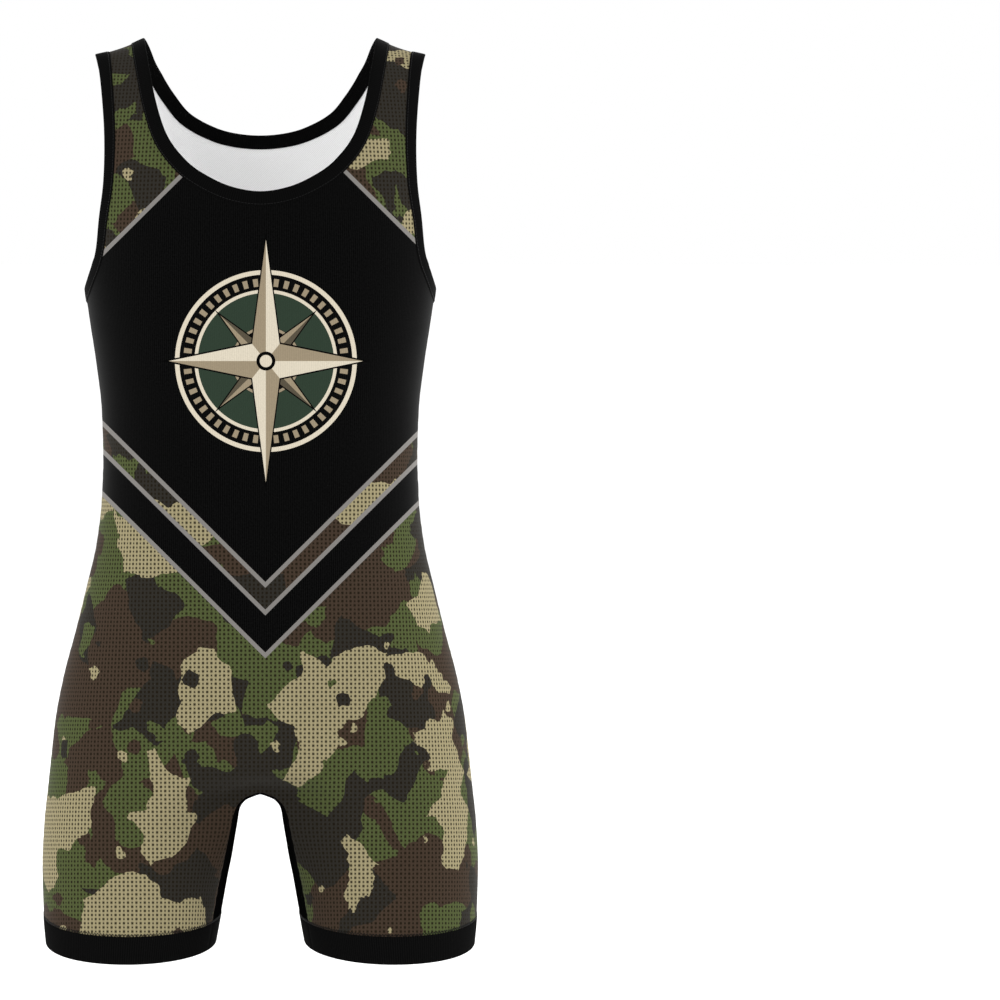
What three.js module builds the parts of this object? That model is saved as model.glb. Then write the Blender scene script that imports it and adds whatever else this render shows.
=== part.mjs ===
// A wrestling singlet, filled out as it is when worn but with nobody in it: a hollow, sleeveless one-piece
// of stretch knit with a scooped neck, wide shoulder straps and mid-thigh legs. Millimetres, +Z up, and the
// front faces -Y. The origin is midway between the two shoulders, level with the tops of the straps, where
// the wearer carries it.
import * as THREE from "three";

// Cloth, seams and bands
const CLOTH = 1.5; // panel wall
const BINDING = 2.2; // folded binding round the neck and the armholes
const BINDING_WIDTH = 11;
const BINDING_ROUND = 0.12; // share of its width over which the finished edge rounds off
const BINDING_FLAT = 0.8; // thickness left flat at the very edge
const BAND = 2.6; // doubled leg band
const HEM_ROUND = 0.9; // rounding of the band's hem edge
const PROUD = 0.4; // how far bindings and bands stand outside the panels
const SEAM = 0.3; // gap kept between two pieces at their seam
const BAND_TOP = -790.4;
const HEM = -816;

// The figure that fills the garment, as sections at heights below the shoulders.
// side: half width at the side seam. front, back: depth in front of and behind the side seams.
// square: how far the oval is squared off. lobe: where a leg's section is deepest.
// frontMiddle, backMiddle: depth on the middle line, or at the inseam.
const SECTIONS = [
  { z: -220, side: 156.8, front: 114, back: 106, square: 0.25, lobe: 0, frontMiddle: 114, backMiddle: 106 },
  { z: -250, side: 152.5, front: 115, back: 104, square: 0.25, lobe: 0, frontMiddle: 115, backMiddle: 104 },
  { z: -290, side: 146.6, front: 113, back: 99, square: 0.24, lobe: 0, frontMiddle: 113, backMiddle: 99 },
  { z: -330, side: 142.2, front: 108, back: 92, square: 0.22, lobe: 0, frontMiddle: 108, backMiddle: 92 },
  { z: -370, side: 141.1, front: 104, back: 88, square: 0.2, lobe: 0, frontMiddle: 104, backMiddle: 88 },
  { z: -410, side: 142.5, front: 102, back: 89, square: 0.2, lobe: 0, frontMiddle: 102, backMiddle: 89 },
  { z: -450, side: 147.3, front: 102, back: 94, square: 0.2, lobe: 0, frontMiddle: 102, backMiddle: 94 },
  { z: -490, side: 156.6, front: 103, back: 102, square: 0.2, lobe: 2, frontMiddle: 103, backMiddle: 102 },
  { z: -530, side: 166.6, front: 105, back: 110, square: 0.2, lobe: 10, frontMiddle: 105, backMiddle: 110 },
  { z: -570, side: 177.4, front: 106, back: 116, square: 0.19, lobe: 27, frontMiddle: 105, backMiddle: 114 },
  { z: -610, side: 185.3, front: 105, back: 119, square: 0.17, lobe: 52, frontMiddle: 99, backMiddle: 108 },
  { z: -645, side: 189.4, front: 102, back: 117, square: 0.15, lobe: 78, frontMiddle: 82, backMiddle: 84 },
  { z: -670.5, side: 192.2, front: 99, back: 112, square: 0.13, lobe: 95, frontMiddle: 46, backMiddle: 46 },
  { z: -705, side: 196, front: 96, back: 106, square: 0.11, lobe: 105, frontMiddle: 40, backMiddle: 40 },
  { z: -745, side: 198, front: 94, back: 101, square: 0.08, lobe: 111, frontMiddle: 38, backMiddle: 38 },
  { z: -790, side: 197, front: 92.5, back: 97, square: 0.06, lobe: 116, frontMiddle: 38, backMiddle: 38 },
  { z: -816, side: 195, front: 91.5, back: 95, square: 0.05, lobe: 118, frontMiddle: 38, backMiddle: 38 },
];

// Above the armpits the cloth runs up and over a sloping shoulder line.
const ARMPIT = SECTIONS[0];
const FLARE = 25; // the widening towards the armpits dies out over this height above them
const SHOULDER_NECK_X = 103; // where the shoulder line is level with the origin
const SHOULDER_SLOPE = 0.5; // its fall there, for each millimetre outwards
const SHOULDER_EASE = 0.0038; // how fast that fall eases off
const NECK_ROUND = 50; // it is rounded off within this distance of the middle
const SHOULDER_Y = 6;
const RISE = 230; // length of the way up to the shoulder line for one radian of its arc
const SHOULDER_V = (RISE * Math.PI) / 2;

// Finished edges as x and z, from the middle or the armpit up to the shoulder line
const FRONT_NECK = [
  { x: 0, z: -135.6 },
  { x: 25.7, z: -131.3 },
  { x: 47.9, z: -121 },
  { x: 65.7, z: -107.3 },
  { x: 81, z: -86.5 },
  { x: 90.6, z: -58.6 },
  { x: 96.6, z: -31 },
  { x: 101, z: -9 },
];
const BACK_NECK = [
  { x: 0, z: -84 },
  { x: 33.5, z: -79.6 },
  { x: 62, z: -66 },
  { x: 77.5, z: -48.5 },
  { x: 88.6, z: -30.7 },
  { x: 97, z: -13.5 },
];
const FRONT_ARM = [
  { x: 156.8, z: -222 },
  { x: 154.5, z: -217 },
  { x: 149.8, z: -205 },
  { x: 144.2, z: -188 },
  { x: 140.9, z: -158 },
  { x: 137, z: -126 },
  { x: 136.6, z: -86 },
  { x: 140.2, z: -45 },
  { x: 144.6, z: -20 },
];
const BACK_ARM = [
  { x: 156.8, z: -222 },
  { x: 155.2, z: -214 },
  { x: 151.6, z: -197.8 },
  { x: 146, z: -182 },
  { x: 139.4, z: -155.5 },
  { x: 135, z: -113.8 },
  { x: 136.2, z: -75 },
  { x: 141.6, z: -45 },
  { x: 145.8, z: -22 },
];
const NECK_SHOULDER_X = 103;
const ARM_SHOULDER_X = 147;

// The inseam of one leg, from the crotch down, as x and z
const INSEAM = [
  { x: 0, z: -670.5 },
  { x: 8, z: -672.8 },
  { x: 14.6, z: -675.8 },
  { x: 20, z: -682 },
  { x: 23, z: -691 },
  { x: 24.2, z: -705 },
  { x: 25.6, z: -722.6 },
  { x: 27.4, z: -741 },
  { x: 33.7, z: -778 },
  { x: 40.6, z: -816 },
];
const CROTCH = INSEAM[0];
const GUSSET_ANGLE = 0.42; // radians of a leg's inner side that the gusset covers, each way from its middle
const GUSSET_SAG = 5.3; // how far the gusset rounds out between its seams under the crotch
const MIDDLE_BELOW_CROTCH = 45; // a place between the legs that the whole gusset faces
const LEG_ROUNDS_IN = 90; // the inner thigh reaches its full roundness over this height below the crotch
const OUTSEAM_AT_CROTCH = -648; // height on the side seam of the row of cloth that meets the crotch
const INNER_SIDE = 0.9; // the stretch inside the lobe takes this share of the lobe's part of the half width

// Steps of the faceted solids
const ACROSS = 10;
const ROWS = { leg: 12, trunk: 16, strap: 14 };
const GUSSET_ACROSS = 8;
const BAND_STEPS = 40;
const SPAN_STEPS = 24; // fine steps between two given points of a line
const FINE = 160; // fine steps across a row of cloth

const lerp = (a, b, t) => a + (b - a) * t;
const clamp01 = (t) => Math.min(1, Math.max(0, t));
const smooth = (t) => clamp01(t) ** 2 * (3 - 2 * clamp01(t));
const vec = (x, y, z) => new THREE.Vector3(x, y, z);

// The slope of a column of the table at row k, by neighbouring rows, level where the column turns or rests.
function sectionSlope(column, k) {
  const slope = (i) => (SECTIONS[i + 1][column] - SECTIONS[i][column]) / (SECTIONS[i + 1].z - SECTIONS[i].z);
  if (k === 0) return slope(0);
  if (k === SECTIONS.length - 1) return slope(k - 1);
  const a = slope(k - 1);
  const b = slope(k);
  return a * b <= 0 ? 0 : (2 * a * b) / (a + b);
}

// One column of the table of sections at any height, as a smooth curve through its rows.
function section(column, z) {
  let i = 0;
  while (i < SECTIONS.length - 2 && z < SECTIONS[i + 1].z) i++;
  const a = SECTIONS[i];
  const b = SECTIONS[i + 1];
  const span = b.z - a.z;
  const t = clamp01((z - a.z) / span);
  const pullA = t * (1 - t) * (1 - t) * span * sectionSlope(column, i);
  const pullB = t * t * (t - 1) * span * sectionSlope(column, i + 1);
  return lerp(a[column], b[column], smooth(t)) + pullA + pullB;
}

// A column of the table carried on above the armpits, levelling off.
function carriedOn(column, v) {
  return ARMPIT[column] + sectionSlope(column, 0) * FLARE * (1 - Math.exp(-v / FLARE));
}

// The height of the shoulder line. It falls away from the neck ever more gently, and is level at the middle.
const shoulderLine = (x) => {
  const across = Math.abs(x) < NECK_ROUND ? (x * x) / NECK_ROUND / 2 + NECK_ROUND / 2 : Math.abs(x);
  const out = across - SHOULDER_NECK_X;
  return -SHOULDER_SLOPE * out + SHOULDER_EASE * out * out;
};

// How far a leg's inner side has turned from the fold of the crotch, 0, into a round thigh, 1.
const roundedIn = (z) => smooth((CROTCH.z - z) / LEG_ROUNDS_IN);

// The depth of the fold between a leg's deepest line and the middle.
function foldDepth(face, x, z) {
  const lobe = section("lobe", z);
  return lerp(section(face, z), section(face + "Middle", z), smooth((lobe - x) / Math.max(1, lobe)));
}

// A point of the right half of a panel. t runs from the middle or the inseam, 0, to the side seam, 1. v is
// the height above the armpit: in millimetres below it, and along the arc up to the shoulder line above it.
function cloth(face, { t, v }) {
  const sign = face === "front" ? -1 : 1;
  if (v >= 0) {
    const angle = (t * Math.PI) / 2;
    const x = carriedOn("side", v) * Math.sin(angle);
    const depth = carriedOn(face, v) * Math.cos(angle) * (1 + ARMPIT.square * Math.sin(angle) ** 2);
    const up = v / RISE;
    const y = sign * depth * Math.cos(up) + SHOULDER_Y * Math.sin(up);
    return vec(x, y, ARMPIT.z + (shoulderLine(x) - ARMPIT.z) * Math.sin(up));
  }
  const z = ARMPIT.z + v;
  const side = section("side", z);
  const depth = section(face, z);
  const lobe = section("lobe", z);
  const innerShare = Math.max(1e-6, (INNER_SIDE * lobe) / side);
  if (t >= innerShare) {
    const angle = ((t - innerShare) / (1 - innerShare)) * (Math.PI / 2);
    const x = lobe + (side - lobe) * Math.sin(angle);
    const squared = 1 + section("square", z) * Math.sin(angle) ** 2;
    return vec(x, sign * depth * Math.cos(angle) * squared, z);
  }
  const u = 1 - t / innerShare;
  const gap = inseamX(z);
  const turn = u * (Math.PI / 2 - GUSSET_ANGLE);
  const foldX = lerp(lobe, gap, u);
  const foldY = foldDepth(face, foldX, z);
  const roundX = lobe - (lobe - gap) * Math.sin(turn);
  const roundY = depth * Math.cos(turn);
  return vec(lerp(foldX, roundX, roundedIn(z)), sign * lerp(foldY, roundY, roundedIn(z)), z);
}

// The two directions along the cloth at a place: across, with t, and up, with v.
function tangents(face, { t, v }) {
  const step = 1e-3;
  const below = ARMPIT.z + v <= CROTCH.z + 1 && ARMPIT.z + v > CROTCH.z - 1 ? 0 : 1;
  const alongT = cloth(face, { t: t + step, v }).sub(cloth(face, { t: t - step, v })).divideScalar(2 * step);
  const alongV = cloth(face, { t, v: v + 1 }).sub(cloth(face, { t, v: v - below })).divideScalar(1 + below);
  return { alongT, alongV, normal: alongT.clone().cross(alongV).normalize() };
}

function clothNormal(face, place) {
  const { normal } = tangents(face, place);
  return face === "front" ? normal : normal.negate();
}

// t and v of a point given by its x and z, above the armpit.
function locate({ x, z }) {
  const up = Math.asin(clamp01((z - ARMPIT.z) / (shoulderLine(x) - ARMPIT.z)));
  const v = z < ARMPIT.z ? z - ARMPIT.z : up * RISE;
  const side = v < 0 ? section("side", z) : carriedOn("side", v);
  return { t: Math.asin(Math.min(1, x / side)) / (Math.PI / 2), v };
}

// A cubic through four neighbouring values, read between the second and the third.
function cubic(a, b, c, d, t) {
  const pullB = (t * (1 - t) * (1 - t) * (c - a)) / 2;
  const pullC = (t * t * (t - 1) * (d - b)) / 2;
  return lerp(b, c, smooth(t)) + pullB + pullC;
}

// A smooth line through rows of numbers, mirrored past each end by startMirror and endMirror.
function lineThrough(points, startMirror, endMirror) {
  const all = [startMirror(points[1]), ...points, endMirror(points[points.length - 2])];
  const fine = [];
  for (let i = 1; i < all.length - 2; i++) {
    for (let k = i === 1 ? 0 : 1; k <= SPAN_STEPS; k++) {
      const t = k / SPAN_STEPS;
      const at = (key) => cubic(all[i - 1][key], all[i][key], all[i + 1][key], all[i + 2][key], t);
      fine.push(Object.fromEntries(Object.keys(points[0]).map((key) => [key, at(key)])));
    }
  }
  return fine;
}

// Picks count + 1 entries of a fine line by the length between their places, trimmed at each end and eased.
function evenly(fine, place, count, { trimStart = 0, trimEnd = 0, ease = (t) => t } = {}) {
  const places = fine.map(place);
  const run = [0];
  for (let i = 1; i < places.length; i++) run.push(run[i - 1] + places[i].distanceTo(places[i - 1]));
  const total = run[run.length - 1] - trimStart - trimEnd;
  const picked = [];
  let i = 0;
  for (let k = 0; k <= count; k++) {
    const want = trimStart + total * ease(k / count);
    while (i < run.length - 2 && run[i + 1] < want) i++;
    const t = (want - run[i]) / (run[i + 1] - run[i]);
    const mix = (key) => lerp(fine[i][key], fine[i + 1][key], t);
    picked.push(Object.fromEntries(Object.keys(fine[0]).map((key) => [key, mix(key)])));
  }
  return picked;
}

const overMiddle = (p) => ({ t: -p.t, v: p.v });
const overSideSeam = (p) => ({ t: 2 - p.t, v: p.v });
const overShoulder = (p) => ({ t: p.t, v: 2 * SHOULDER_V - p.v });

// A finished edge of one panel, from the middle or the armpit up to the shoulder line, in t and v.
function finishedEdge(face, points, shoulderX, startMirror) {
  const top = { t: Math.asin(shoulderX / carriedOn("side", SHOULDER_V)) / (Math.PI / 2), v: SHOULDER_V };
  const fine = lineThrough([...points.map(locate), top], startMirror, overShoulder);
  return evenly(fine, (p) => cloth(face, p), ROWS.strap);
}

const EDGES = {
  front: {
    neck: finishedEdge("front", FRONT_NECK, NECK_SHOULDER_X, overMiddle),
    arm: finishedEdge("front", FRONT_ARM, ARM_SHOULDER_X, overSideSeam),
  },
  back: {
    neck: finishedEdge("back", BACK_NECK, NECK_SHOULDER_X, overMiddle),
    arm: finishedEdge("back", BACK_ARM, ARM_SHOULDER_X, overSideSeam),
  },
};
const FROM_EDGE = { neck: 1, arm: -1 }; // the cloth lies towards larger or smaller t from each edge

// A finished edge moved across the cloth by a width.
function inset(face, which, width) {
  const edge = EDGES[face][which];
  return edge.map((p, i) => {
    const { alongT, alongV, normal } = tangents(face, p);
    const before = edge[Math.max(0, i - 1)];
    const after = edge[Math.min(edge.length - 1, i + 1)];
    let run = cloth(face, after).sub(cloth(face, before));
    if (i === 0) run = alongT.clone().multiplyScalar(FROM_EDGE[which]);
    if (i === edge.length - 1) run = alongV.clone();
    const across = run.cross(normal).normalize().multiplyScalar(FROM_EDGE[which] * width);
    const tt = alongT.dot(alongT);
    const tv = alongT.dot(alongV);
    const vv = alongV.dot(alongV);
    const det = tt * vv - tv * tv;
    const dt = (across.dot(alongT) * vv - across.dot(alongV) * tv) / det;
    const dv = (across.dot(alongV) * tt - across.dot(alongT) * tv) / det;
    const stepT = i === 0 ? 0 : dt;
    const stepV = i === edge.length - 1 ? 0 : dv;
    const reach = cloth(face, { t: p.t + stepT, v: p.v + stepV }).distanceTo(cloth(face, p)) / width;
    return { t: p.t + stepT / reach, v: p.v + stepV / reach };
  });
}

// The inseam as a fine line, and its x at any height.
const inseamLine = lineThrough(
  INSEAM,
  (p) => ({ x: -p.x, z: p.z }),
  (p) => ({ x: 2 * INSEAM[INSEAM.length - 1].x - p.x, z: 2 * HEM - p.z }),
);

function inseamX(z) {
  if (z >= CROTCH.z) return 0;
  let i = 0;
  while (i < inseamLine.length - 2 && z < inseamLine[i + 1].z) i++;
  const a = inseamLine[i];
  const b = inseamLine[i + 1];
  return lerp(a.x, b.x, clamp01((z - a.z) / (b.z - a.z)));
}

// The inseam from the crotch down to the leg band, with shorter steps round the crotch.
function inseamSteps() {
  const bottom = BAND_TOP + SEAM / 2;
  const above = [...inseamLine.filter((p) => p.z > bottom), { x: inseamX(bottom), z: bottom }];
  return evenly(above, (p) => vec(p.x, 0, p.z), ROWS.leg, { ease: legEase });
}

// Rows lie closer together near the crotch, where the cloth bends most.
const legEase = (t) => t ** 1.5;
const trunkEase = (t) => t ** 1.25;

// A row of a panel's right half, evenly spaced from its inner end to its outer end.
function panelRow(face, inner, outer, trimStart, trimEnd) {
  const fine = [];
  for (let k = 0; k <= FINE; k++) {
    const s = k / FINE;
    fine.push({ t: lerp(inner.t, outer.t, s), v: lerp(inner.v, outer.v, Math.sin((s * Math.PI) / 2)) });
  }
  return evenly(fine, (p) => cloth(face, p), ACROSS, { trimStart, trimEnd });
}

// All rows of a panel's right half, from the leg band up to the shoulder seam. Split rows have no point in
// the middle.
function panelRows(face) {
  const half = SEAM / 2;
  const rows = [];
  const heights = inseamSteps().map((p) => p.z - ARMPIT.z);
  for (let i = ROWS.leg; i >= 0; i--) {
    const outerZ = lerp(OUTSEAM_AT_CROTCH, BAND_TOP + half, legEase(i / ROWS.leg));
    const inner = { t: 0, v: heights[i] + (i === 0 ? half : 0) };
    const outer = { t: 1, v: outerZ - ARMPIT.z };
    rows.push({ split: i > 0, places: panelRow(face, inner, outer, i > 0 ? half : 0, half) });
  }
  const neck = inset(face, "neck", BINDING_WIDTH + SEAM);
  const arm = inset(face, "arm", BINDING_WIDTH + SEAM);
  for (let i = 1; i <= ROWS.trunk; i++) {
    const rise = trunkEase(i / ROWS.trunk);
    const inner = { t: 0, v: lerp(heights[0] + half, neck[0].v, rise) };
    const outer = { t: 1, v: lerp(OUTSEAM_AT_CROTCH - ARMPIT.z, arm[0].v, rise) };
    rows.push({ split: false, places: panelRow(face, inner, outer, 0, half) });
  }
  for (let i = 1; i <= ROWS.strap; i++) {
    rows.push({ split: true, places: panelRow(face, neck[i], arm[i], 0, 0) });
  }
  // The last row stops short of the shoulder line by half a seam.
  rows[rows.length - 1].places.forEach((p) => {
    const perStep = cloth(face, p).distanceTo(cloth(face, { t: p.t, v: p.v - 1 }));
    p.v -= half / perStep;
  });
  return rows;
}

// A closed solid from vertices and triangles, turned to face outwards.
function solid(vertices, triangles) {
  let volume = 0;
  for (const [a, b, c] of triangles) volume += vertices[a].dot(vertices[b].clone().cross(vertices[c]));
  const facing = volume < 0 ? triangles.map(([a, b, c]) => [a, c, b]) : triangles;
  const geometry = new THREE.BufferGeometry();
  const numbers = vertices.flatMap((p) => [p.x, p.y, p.z]);
  geometry.setAttribute("position", new THREE.Float32BufferAttribute(numbers, 3));
  geometry.setIndex(facing.flat());
  geometry.computeVertexNormals();
  return geometry;
}

// A cloth wall: the sheet of quads and its copy moved inwards, joined along every open edge.
function wall(outer, normals, quads, thickness) {
  const inner = outer.map((p, i) => p.clone().addScaledVector(normals[i], -thickness));
  const count = outer.length;
  const triangles = [];
  const open = new Map();
  for (const [a, b, c, d] of quads) {
    triangles.push([a, b, c], [a, c, d]);
    triangles.push([a + count, c + count, b + count], [a + count, d + count, c + count]);
    for (const [from, to] of [[a, b], [b, c], [c, d], [d, a]]) {
      if (!open.delete(`${to},${from}`)) open.set(`${from},${to}`, [from, to]);
    }
  }
  for (const [a, b] of open.values()) triangles.push([b, a, a + count], [b, a + count, b + count]);
  return solid([...outer, ...inner], triangles);
}

// A front or back panel: a right half, its mirror image, and one line of points that joins them midway.
function panel(face) {
  const rows = panelRows(face);
  const vertices = [];
  const normals = [];
  const ids = { 1: [], [-1]: [] };
  for (const side of [1, -1]) {
    rows.forEach(({ split, places }, r) => {
      ids[side][r] = places.map((place, c) => {
        if (side < 0 && c === 0 && !split) return ids[1][r][0];
        const p = cloth(face, place);
        const n = clothNormal(face, place);
        // The walls don't lean across the side seam, the middle line or the shoulder seam.
        if (c === ACROSS && r <= ROWS.leg + ROWS.trunk) n.setY(0);
        if (c === 0 && !split) n.setX(0);
        if (r === rows.length - 1) n.setY(0);
        n.normalize();
        vertices.push(vec(p.x * side, p.y, p.z));
        normals.push(vec(n.x * side, n.y, n.z));
        return vertices.length - 1;
      });
    });
  }
  const quads = [];
  for (const side of [1, -1]) {
    const id = ids[side];
    for (let r = 0; r < rows.length - 1; r++) {
      for (let c = 0; c < ACROSS; c++) {
        const [a, b, e, d] = [id[r][c], id[r][c + 1], id[r + 1][c + 1], id[r + 1][c]];
        quads.push(side > 0 ? [a, b, e, d] : [a, d, e, b]);
      }
    }
  }
  return wall(vertices, normals, quads, CLOTH);
}

// A ring of cross sections joined to each other and to the first again.
function ring(sections) {
  const size = sections[0].length;
  const triangles = [];
  sections.forEach((_, s) => {
    const next = (s + 1) % sections.length;
    for (let k = 0; k < size; k++) {
      const a = s * size + k;
      const b = s * size + ((k + 1) % size);
      const c = next * size + ((k + 1) % size);
      const d = next * size + k;
      triangles.push([a, b, c], [a, c, d]);
    }
  });
  return solid(sections.flat(), triangles);
}

// The cross section of a binding, from its finished edge, 0, to its seam, 1, with the finished edge rounded.
const BINDING_PROFILE = [
  { across: 0, out: PROUD - (BINDING - BINDING_FLAT) / 2 },
  { across: 0, out: PROUD - (BINDING + BINDING_FLAT) / 2 },
  { across: BINDING_ROUND, out: PROUD - BINDING },
  { across: 1, out: PROUD - BINDING },
  { across: 1, out: PROUD },
  { across: BINDING_ROUND, out: PROUD },
];

// The quarter of a binding that lies along one panel's right half, from its lowest point up to the shoulder.
function bindingQuarter(face, which) {
  const seam = inset(face, which, BINDING_WIDTH);
  return EDGES[face][which].map((edge, i) => {
    const normals = [edge, seam[i]].map((place) => {
      const n = clothNormal(face, place);
      if (i === 0 && which === "neck") n.setX(0);
      if (i === 0 && which === "arm") n.setY(0);
      if (i === seam.length - 1) n.setY(0);
      return n.normalize();
    });
    const [edgePoint, seamPoint] = [cloth(face, edge), cloth(face, seam[i])];
    return BINDING_PROFILE.map(({ across, out }) => {
      const normal = normals[0].clone().lerp(normals[1], across).normalize();
      return edgePoint.clone().lerp(seamPoint, across).addScaledVector(normal, out);
    });
  });
}

const mirrored = (points) => points.map((p) => vec(-p.x, p.y, p.z));

// The neck binding is one ring, front and back, left and right.
function neckBinding() {
  const front = bindingQuarter("front", "neck");
  const back = bindingQuarter("back", "neck");
  const right = [...front, ...back.slice(0, -1).reverse()];
  return ring([...right, ...right.slice(1, -1).reverse().map(mirrored)]);
}

// An armhole binding runs from the armpit up the front, over the shoulder and down the back.
function armBinding(side) {
  const front = bindingQuarter("front", "arm");
  const back = bindingQuarter("back", "arm");
  const loop = [...front, ...back.slice(1, -1).reverse()];
  return ring(side > 0 ? loop : loop.map(mirrored));
}

// A point of the gusset. s runs from the front seam, -1, to the back seam, 1. inward is the way from the
// inseam into the space between the legs.
function gussetPoint(s, seam, inward) {
  const face = s < 0 ? "front" : "back";
  const lobe = section("lobe", seam.z);
  const foldHalf = foldDepth(face, seam.x, seam.z);
  const turn = GUSSET_ANGLE * s * (1 - SEAM / foldHalf);
  const fold = (s * Math.PI) / 2;
  const sag = lerp(SEAM, GUSSET_SAG, Math.cos(fold));
  const foldX = seam.x + inward.x * sag;
  const foldY = foldHalf * Math.sin(fold);
  const foldZ = seam.z + inward.z * sag;
  const roundX = lobe - (lobe - seam.x) * Math.cos(turn);
  const roundY = section(face, seam.z) * Math.sin(turn);
  const round = roundedIn(seam.z);
  return vec(lerp(foldX, roundX, round), lerp(foldY, roundY, round), lerp(foldZ, seam.z, round));
}

// The gusset: one strip from the band of one leg, up its inside, under the crotch and down the other leg.
function gusset() {
  const steps = inseamSteps();
  const right = steps.map((seam, i) => {
    const before = i === 0 ? { x: -steps[1].x, z: steps[1].z } : steps[i - 1];
    const after = steps[Math.min(steps.length - 1, i + 1)];
    const run = new THREE.Vector2(after.x - before.x, after.z - before.z).normalize();
    const row = [];
    for (let k = 0; k <= GUSSET_ACROSS; k++) {
      row.push(gussetPoint((2 * k) / GUSSET_ACROSS - 1, seam, { x: run.y, z: -run.x }));
    }
    return row;
  });
  const grid = [...right.slice(1).reverse().map(mirrored), ...right];
  const between = vec(0, 0, CROTCH.z - MIDDLE_BELOW_CROTCH);
  const normals = grid.map((row, r) => row.map((p, c) => {
    const across = row[Math.min(GUSSET_ACROSS, c + 1)].clone().sub(row[Math.max(0, c - 1)]);
    const along = grid[Math.min(grid.length - 1, r + 1)][c].clone().sub(grid[Math.max(0, r - 1)][c]);
    const normal = across.cross(along).normalize();
    if (c === 0 || c === GUSSET_ACROSS) {
      const face = c === 0 ? "front" : "back";
      const beside = clothNormal(face, { t: 0, v: steps[Math.abs(r - ROWS.leg)].z - ARMPIT.z });
      return vec(beside.x * (r < ROWS.leg ? -1 : 1), beside.y, beside.z);
    }
    return normal.dot(between.clone().sub(p).setY(0)) < 0 ? normal.negate() : normal;
  }));
  const width = GUSSET_ACROSS + 1;
  const quads = [];
  for (let r = 0; r < grid.length - 1; r++) {
    for (let c = 0; c < GUSSET_ACROSS; c++) {
      const a = r * width + c;
      quads.push([a, a + width, a + 1 + width, a + 1]);
    }
  }
  return wall(grid.flat(), normals.flat(), quads, CLOTH);
}

// A leg's whole section at a height: the front, the gusset and the back, as even steps round the right leg.
function legSection(z) {
  const v = z - ARMPIT.z;
  const loop = [];
  for (let k = 0; k <= FINE; k++) loop.push(cloth("front", { t: 1 - k / FINE, v }));
  for (let k = 1; k < SPAN_STEPS; k++) {
    loop.push(gussetPoint((2 * k) / SPAN_STEPS - 1, { x: inseamX(z), z }, { x: -1, z: 0 }));
  }
  for (let k = 0; k <= FINE; k++) loop.push(cloth("back", { t: k / FINE, v }));
  const flat = loop.map(({ x, y }) => ({ x, y }));
  return evenly(flat, (p) => vec(p.x, p.y, z), BAND_STEPS).slice(0, BAND_STEPS);
}

// A leg band: a doubled ring of rib below the leg panels, with its hem edge rounded.
function legBand(side) {
  const profile = [
    { z: BAND_TOP - SEAM / 2, out: PROUD },
    { z: HEM + HEM_ROUND, out: PROUD },
    { z: HEM, out: PROUD - HEM_ROUND },
    { z: HEM, out: PROUD - BAND + HEM_ROUND },
    { z: HEM + HEM_ROUND, out: PROUD - BAND },
    { z: BAND_TOP - SEAM / 2, out: PROUD - BAND },
  ];
  const levels = profile.map(({ z, out }) => {
    const points = legSection(z);
    return points.map((p, i) => {
      const before = points[(i + BAND_STEPS - 1) % BAND_STEPS];
      const after = points[(i + 1) % BAND_STEPS];
      const normal = vec(after.y - before.y, before.x - after.x, 0).normalize();
      const turned = normal.dot(vec(p.x - section("lobe", z), p.y, 0)) < 0 ? -out : out;
      return vec((p.x + normal.x * turned) * side, p.y + normal.y * turned, z);
    });
  });
  return ring(levels[0].map((_, i) => levels.map((level) => level[i])));
}

const printedKnit = new THREE.MeshStandardMaterial({ color: 0x3f4428, roughness: 0.8, metalness: 0 });
const blackKnit = new THREE.MeshStandardMaterial({ color: 0x0e0e0e, roughness: 0.75, metalness: 0 });
const blackRib = new THREE.MeshStandardMaterial({ color: 0x101010, roughness: 0.7, metalness: 0 });

function piece(name, geometry, material) {
  const mesh = new THREE.Mesh(geometry, material.clone());
  mesh.name = name;
  return mesh;
}

const singlet = new THREE.Group();
singlet.add(
  piece("front_panel", panel("front"), printedKnit),
  piece("back_panel", panel("back"), printedKnit),
  piece("inseam_gusset", gusset(), blackKnit),
  piece("neck_binding", neckBinding(), blackKnit),
  piece("armhole_binding_left", armBinding(1), blackKnit),
  piece("armhole_binding_right", armBinding(-1), blackKnit),
  piece("leg_band_left", legBand(1), blackRib),
  piece("leg_band_right", legBand(-1), blackRib),
);

export default singlet;
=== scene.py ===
# The looks of a wrestling singlet, filled out as worn but with nobody in it: printed stretch knit panels, a
# black gusset inside the legs, folded bindings at the neck and armholes, and doubled bands at the hems.
import bpy
import numpy as np
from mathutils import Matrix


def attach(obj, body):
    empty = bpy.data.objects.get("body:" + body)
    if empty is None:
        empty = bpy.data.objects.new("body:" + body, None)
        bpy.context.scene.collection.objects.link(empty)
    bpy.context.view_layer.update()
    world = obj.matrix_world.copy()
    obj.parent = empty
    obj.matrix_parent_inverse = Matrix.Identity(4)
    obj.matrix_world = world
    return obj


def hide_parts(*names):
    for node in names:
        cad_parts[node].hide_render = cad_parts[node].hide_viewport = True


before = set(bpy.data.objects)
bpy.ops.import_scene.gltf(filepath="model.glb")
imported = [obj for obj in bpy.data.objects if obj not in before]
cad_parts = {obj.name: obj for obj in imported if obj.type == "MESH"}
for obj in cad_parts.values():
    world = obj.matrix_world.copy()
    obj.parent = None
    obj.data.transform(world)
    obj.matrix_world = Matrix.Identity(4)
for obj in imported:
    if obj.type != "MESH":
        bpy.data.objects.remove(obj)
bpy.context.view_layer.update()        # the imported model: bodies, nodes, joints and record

# Camera, floor and light. The garment fills the left half of the picture, seen from 2.8 m in front of the
# shoulders and tipped down a little. It hangs as if worn, over a plain pale floor, in soft white light.
MM = 0.001
VIEW_DISTANCE = 2800.0
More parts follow.
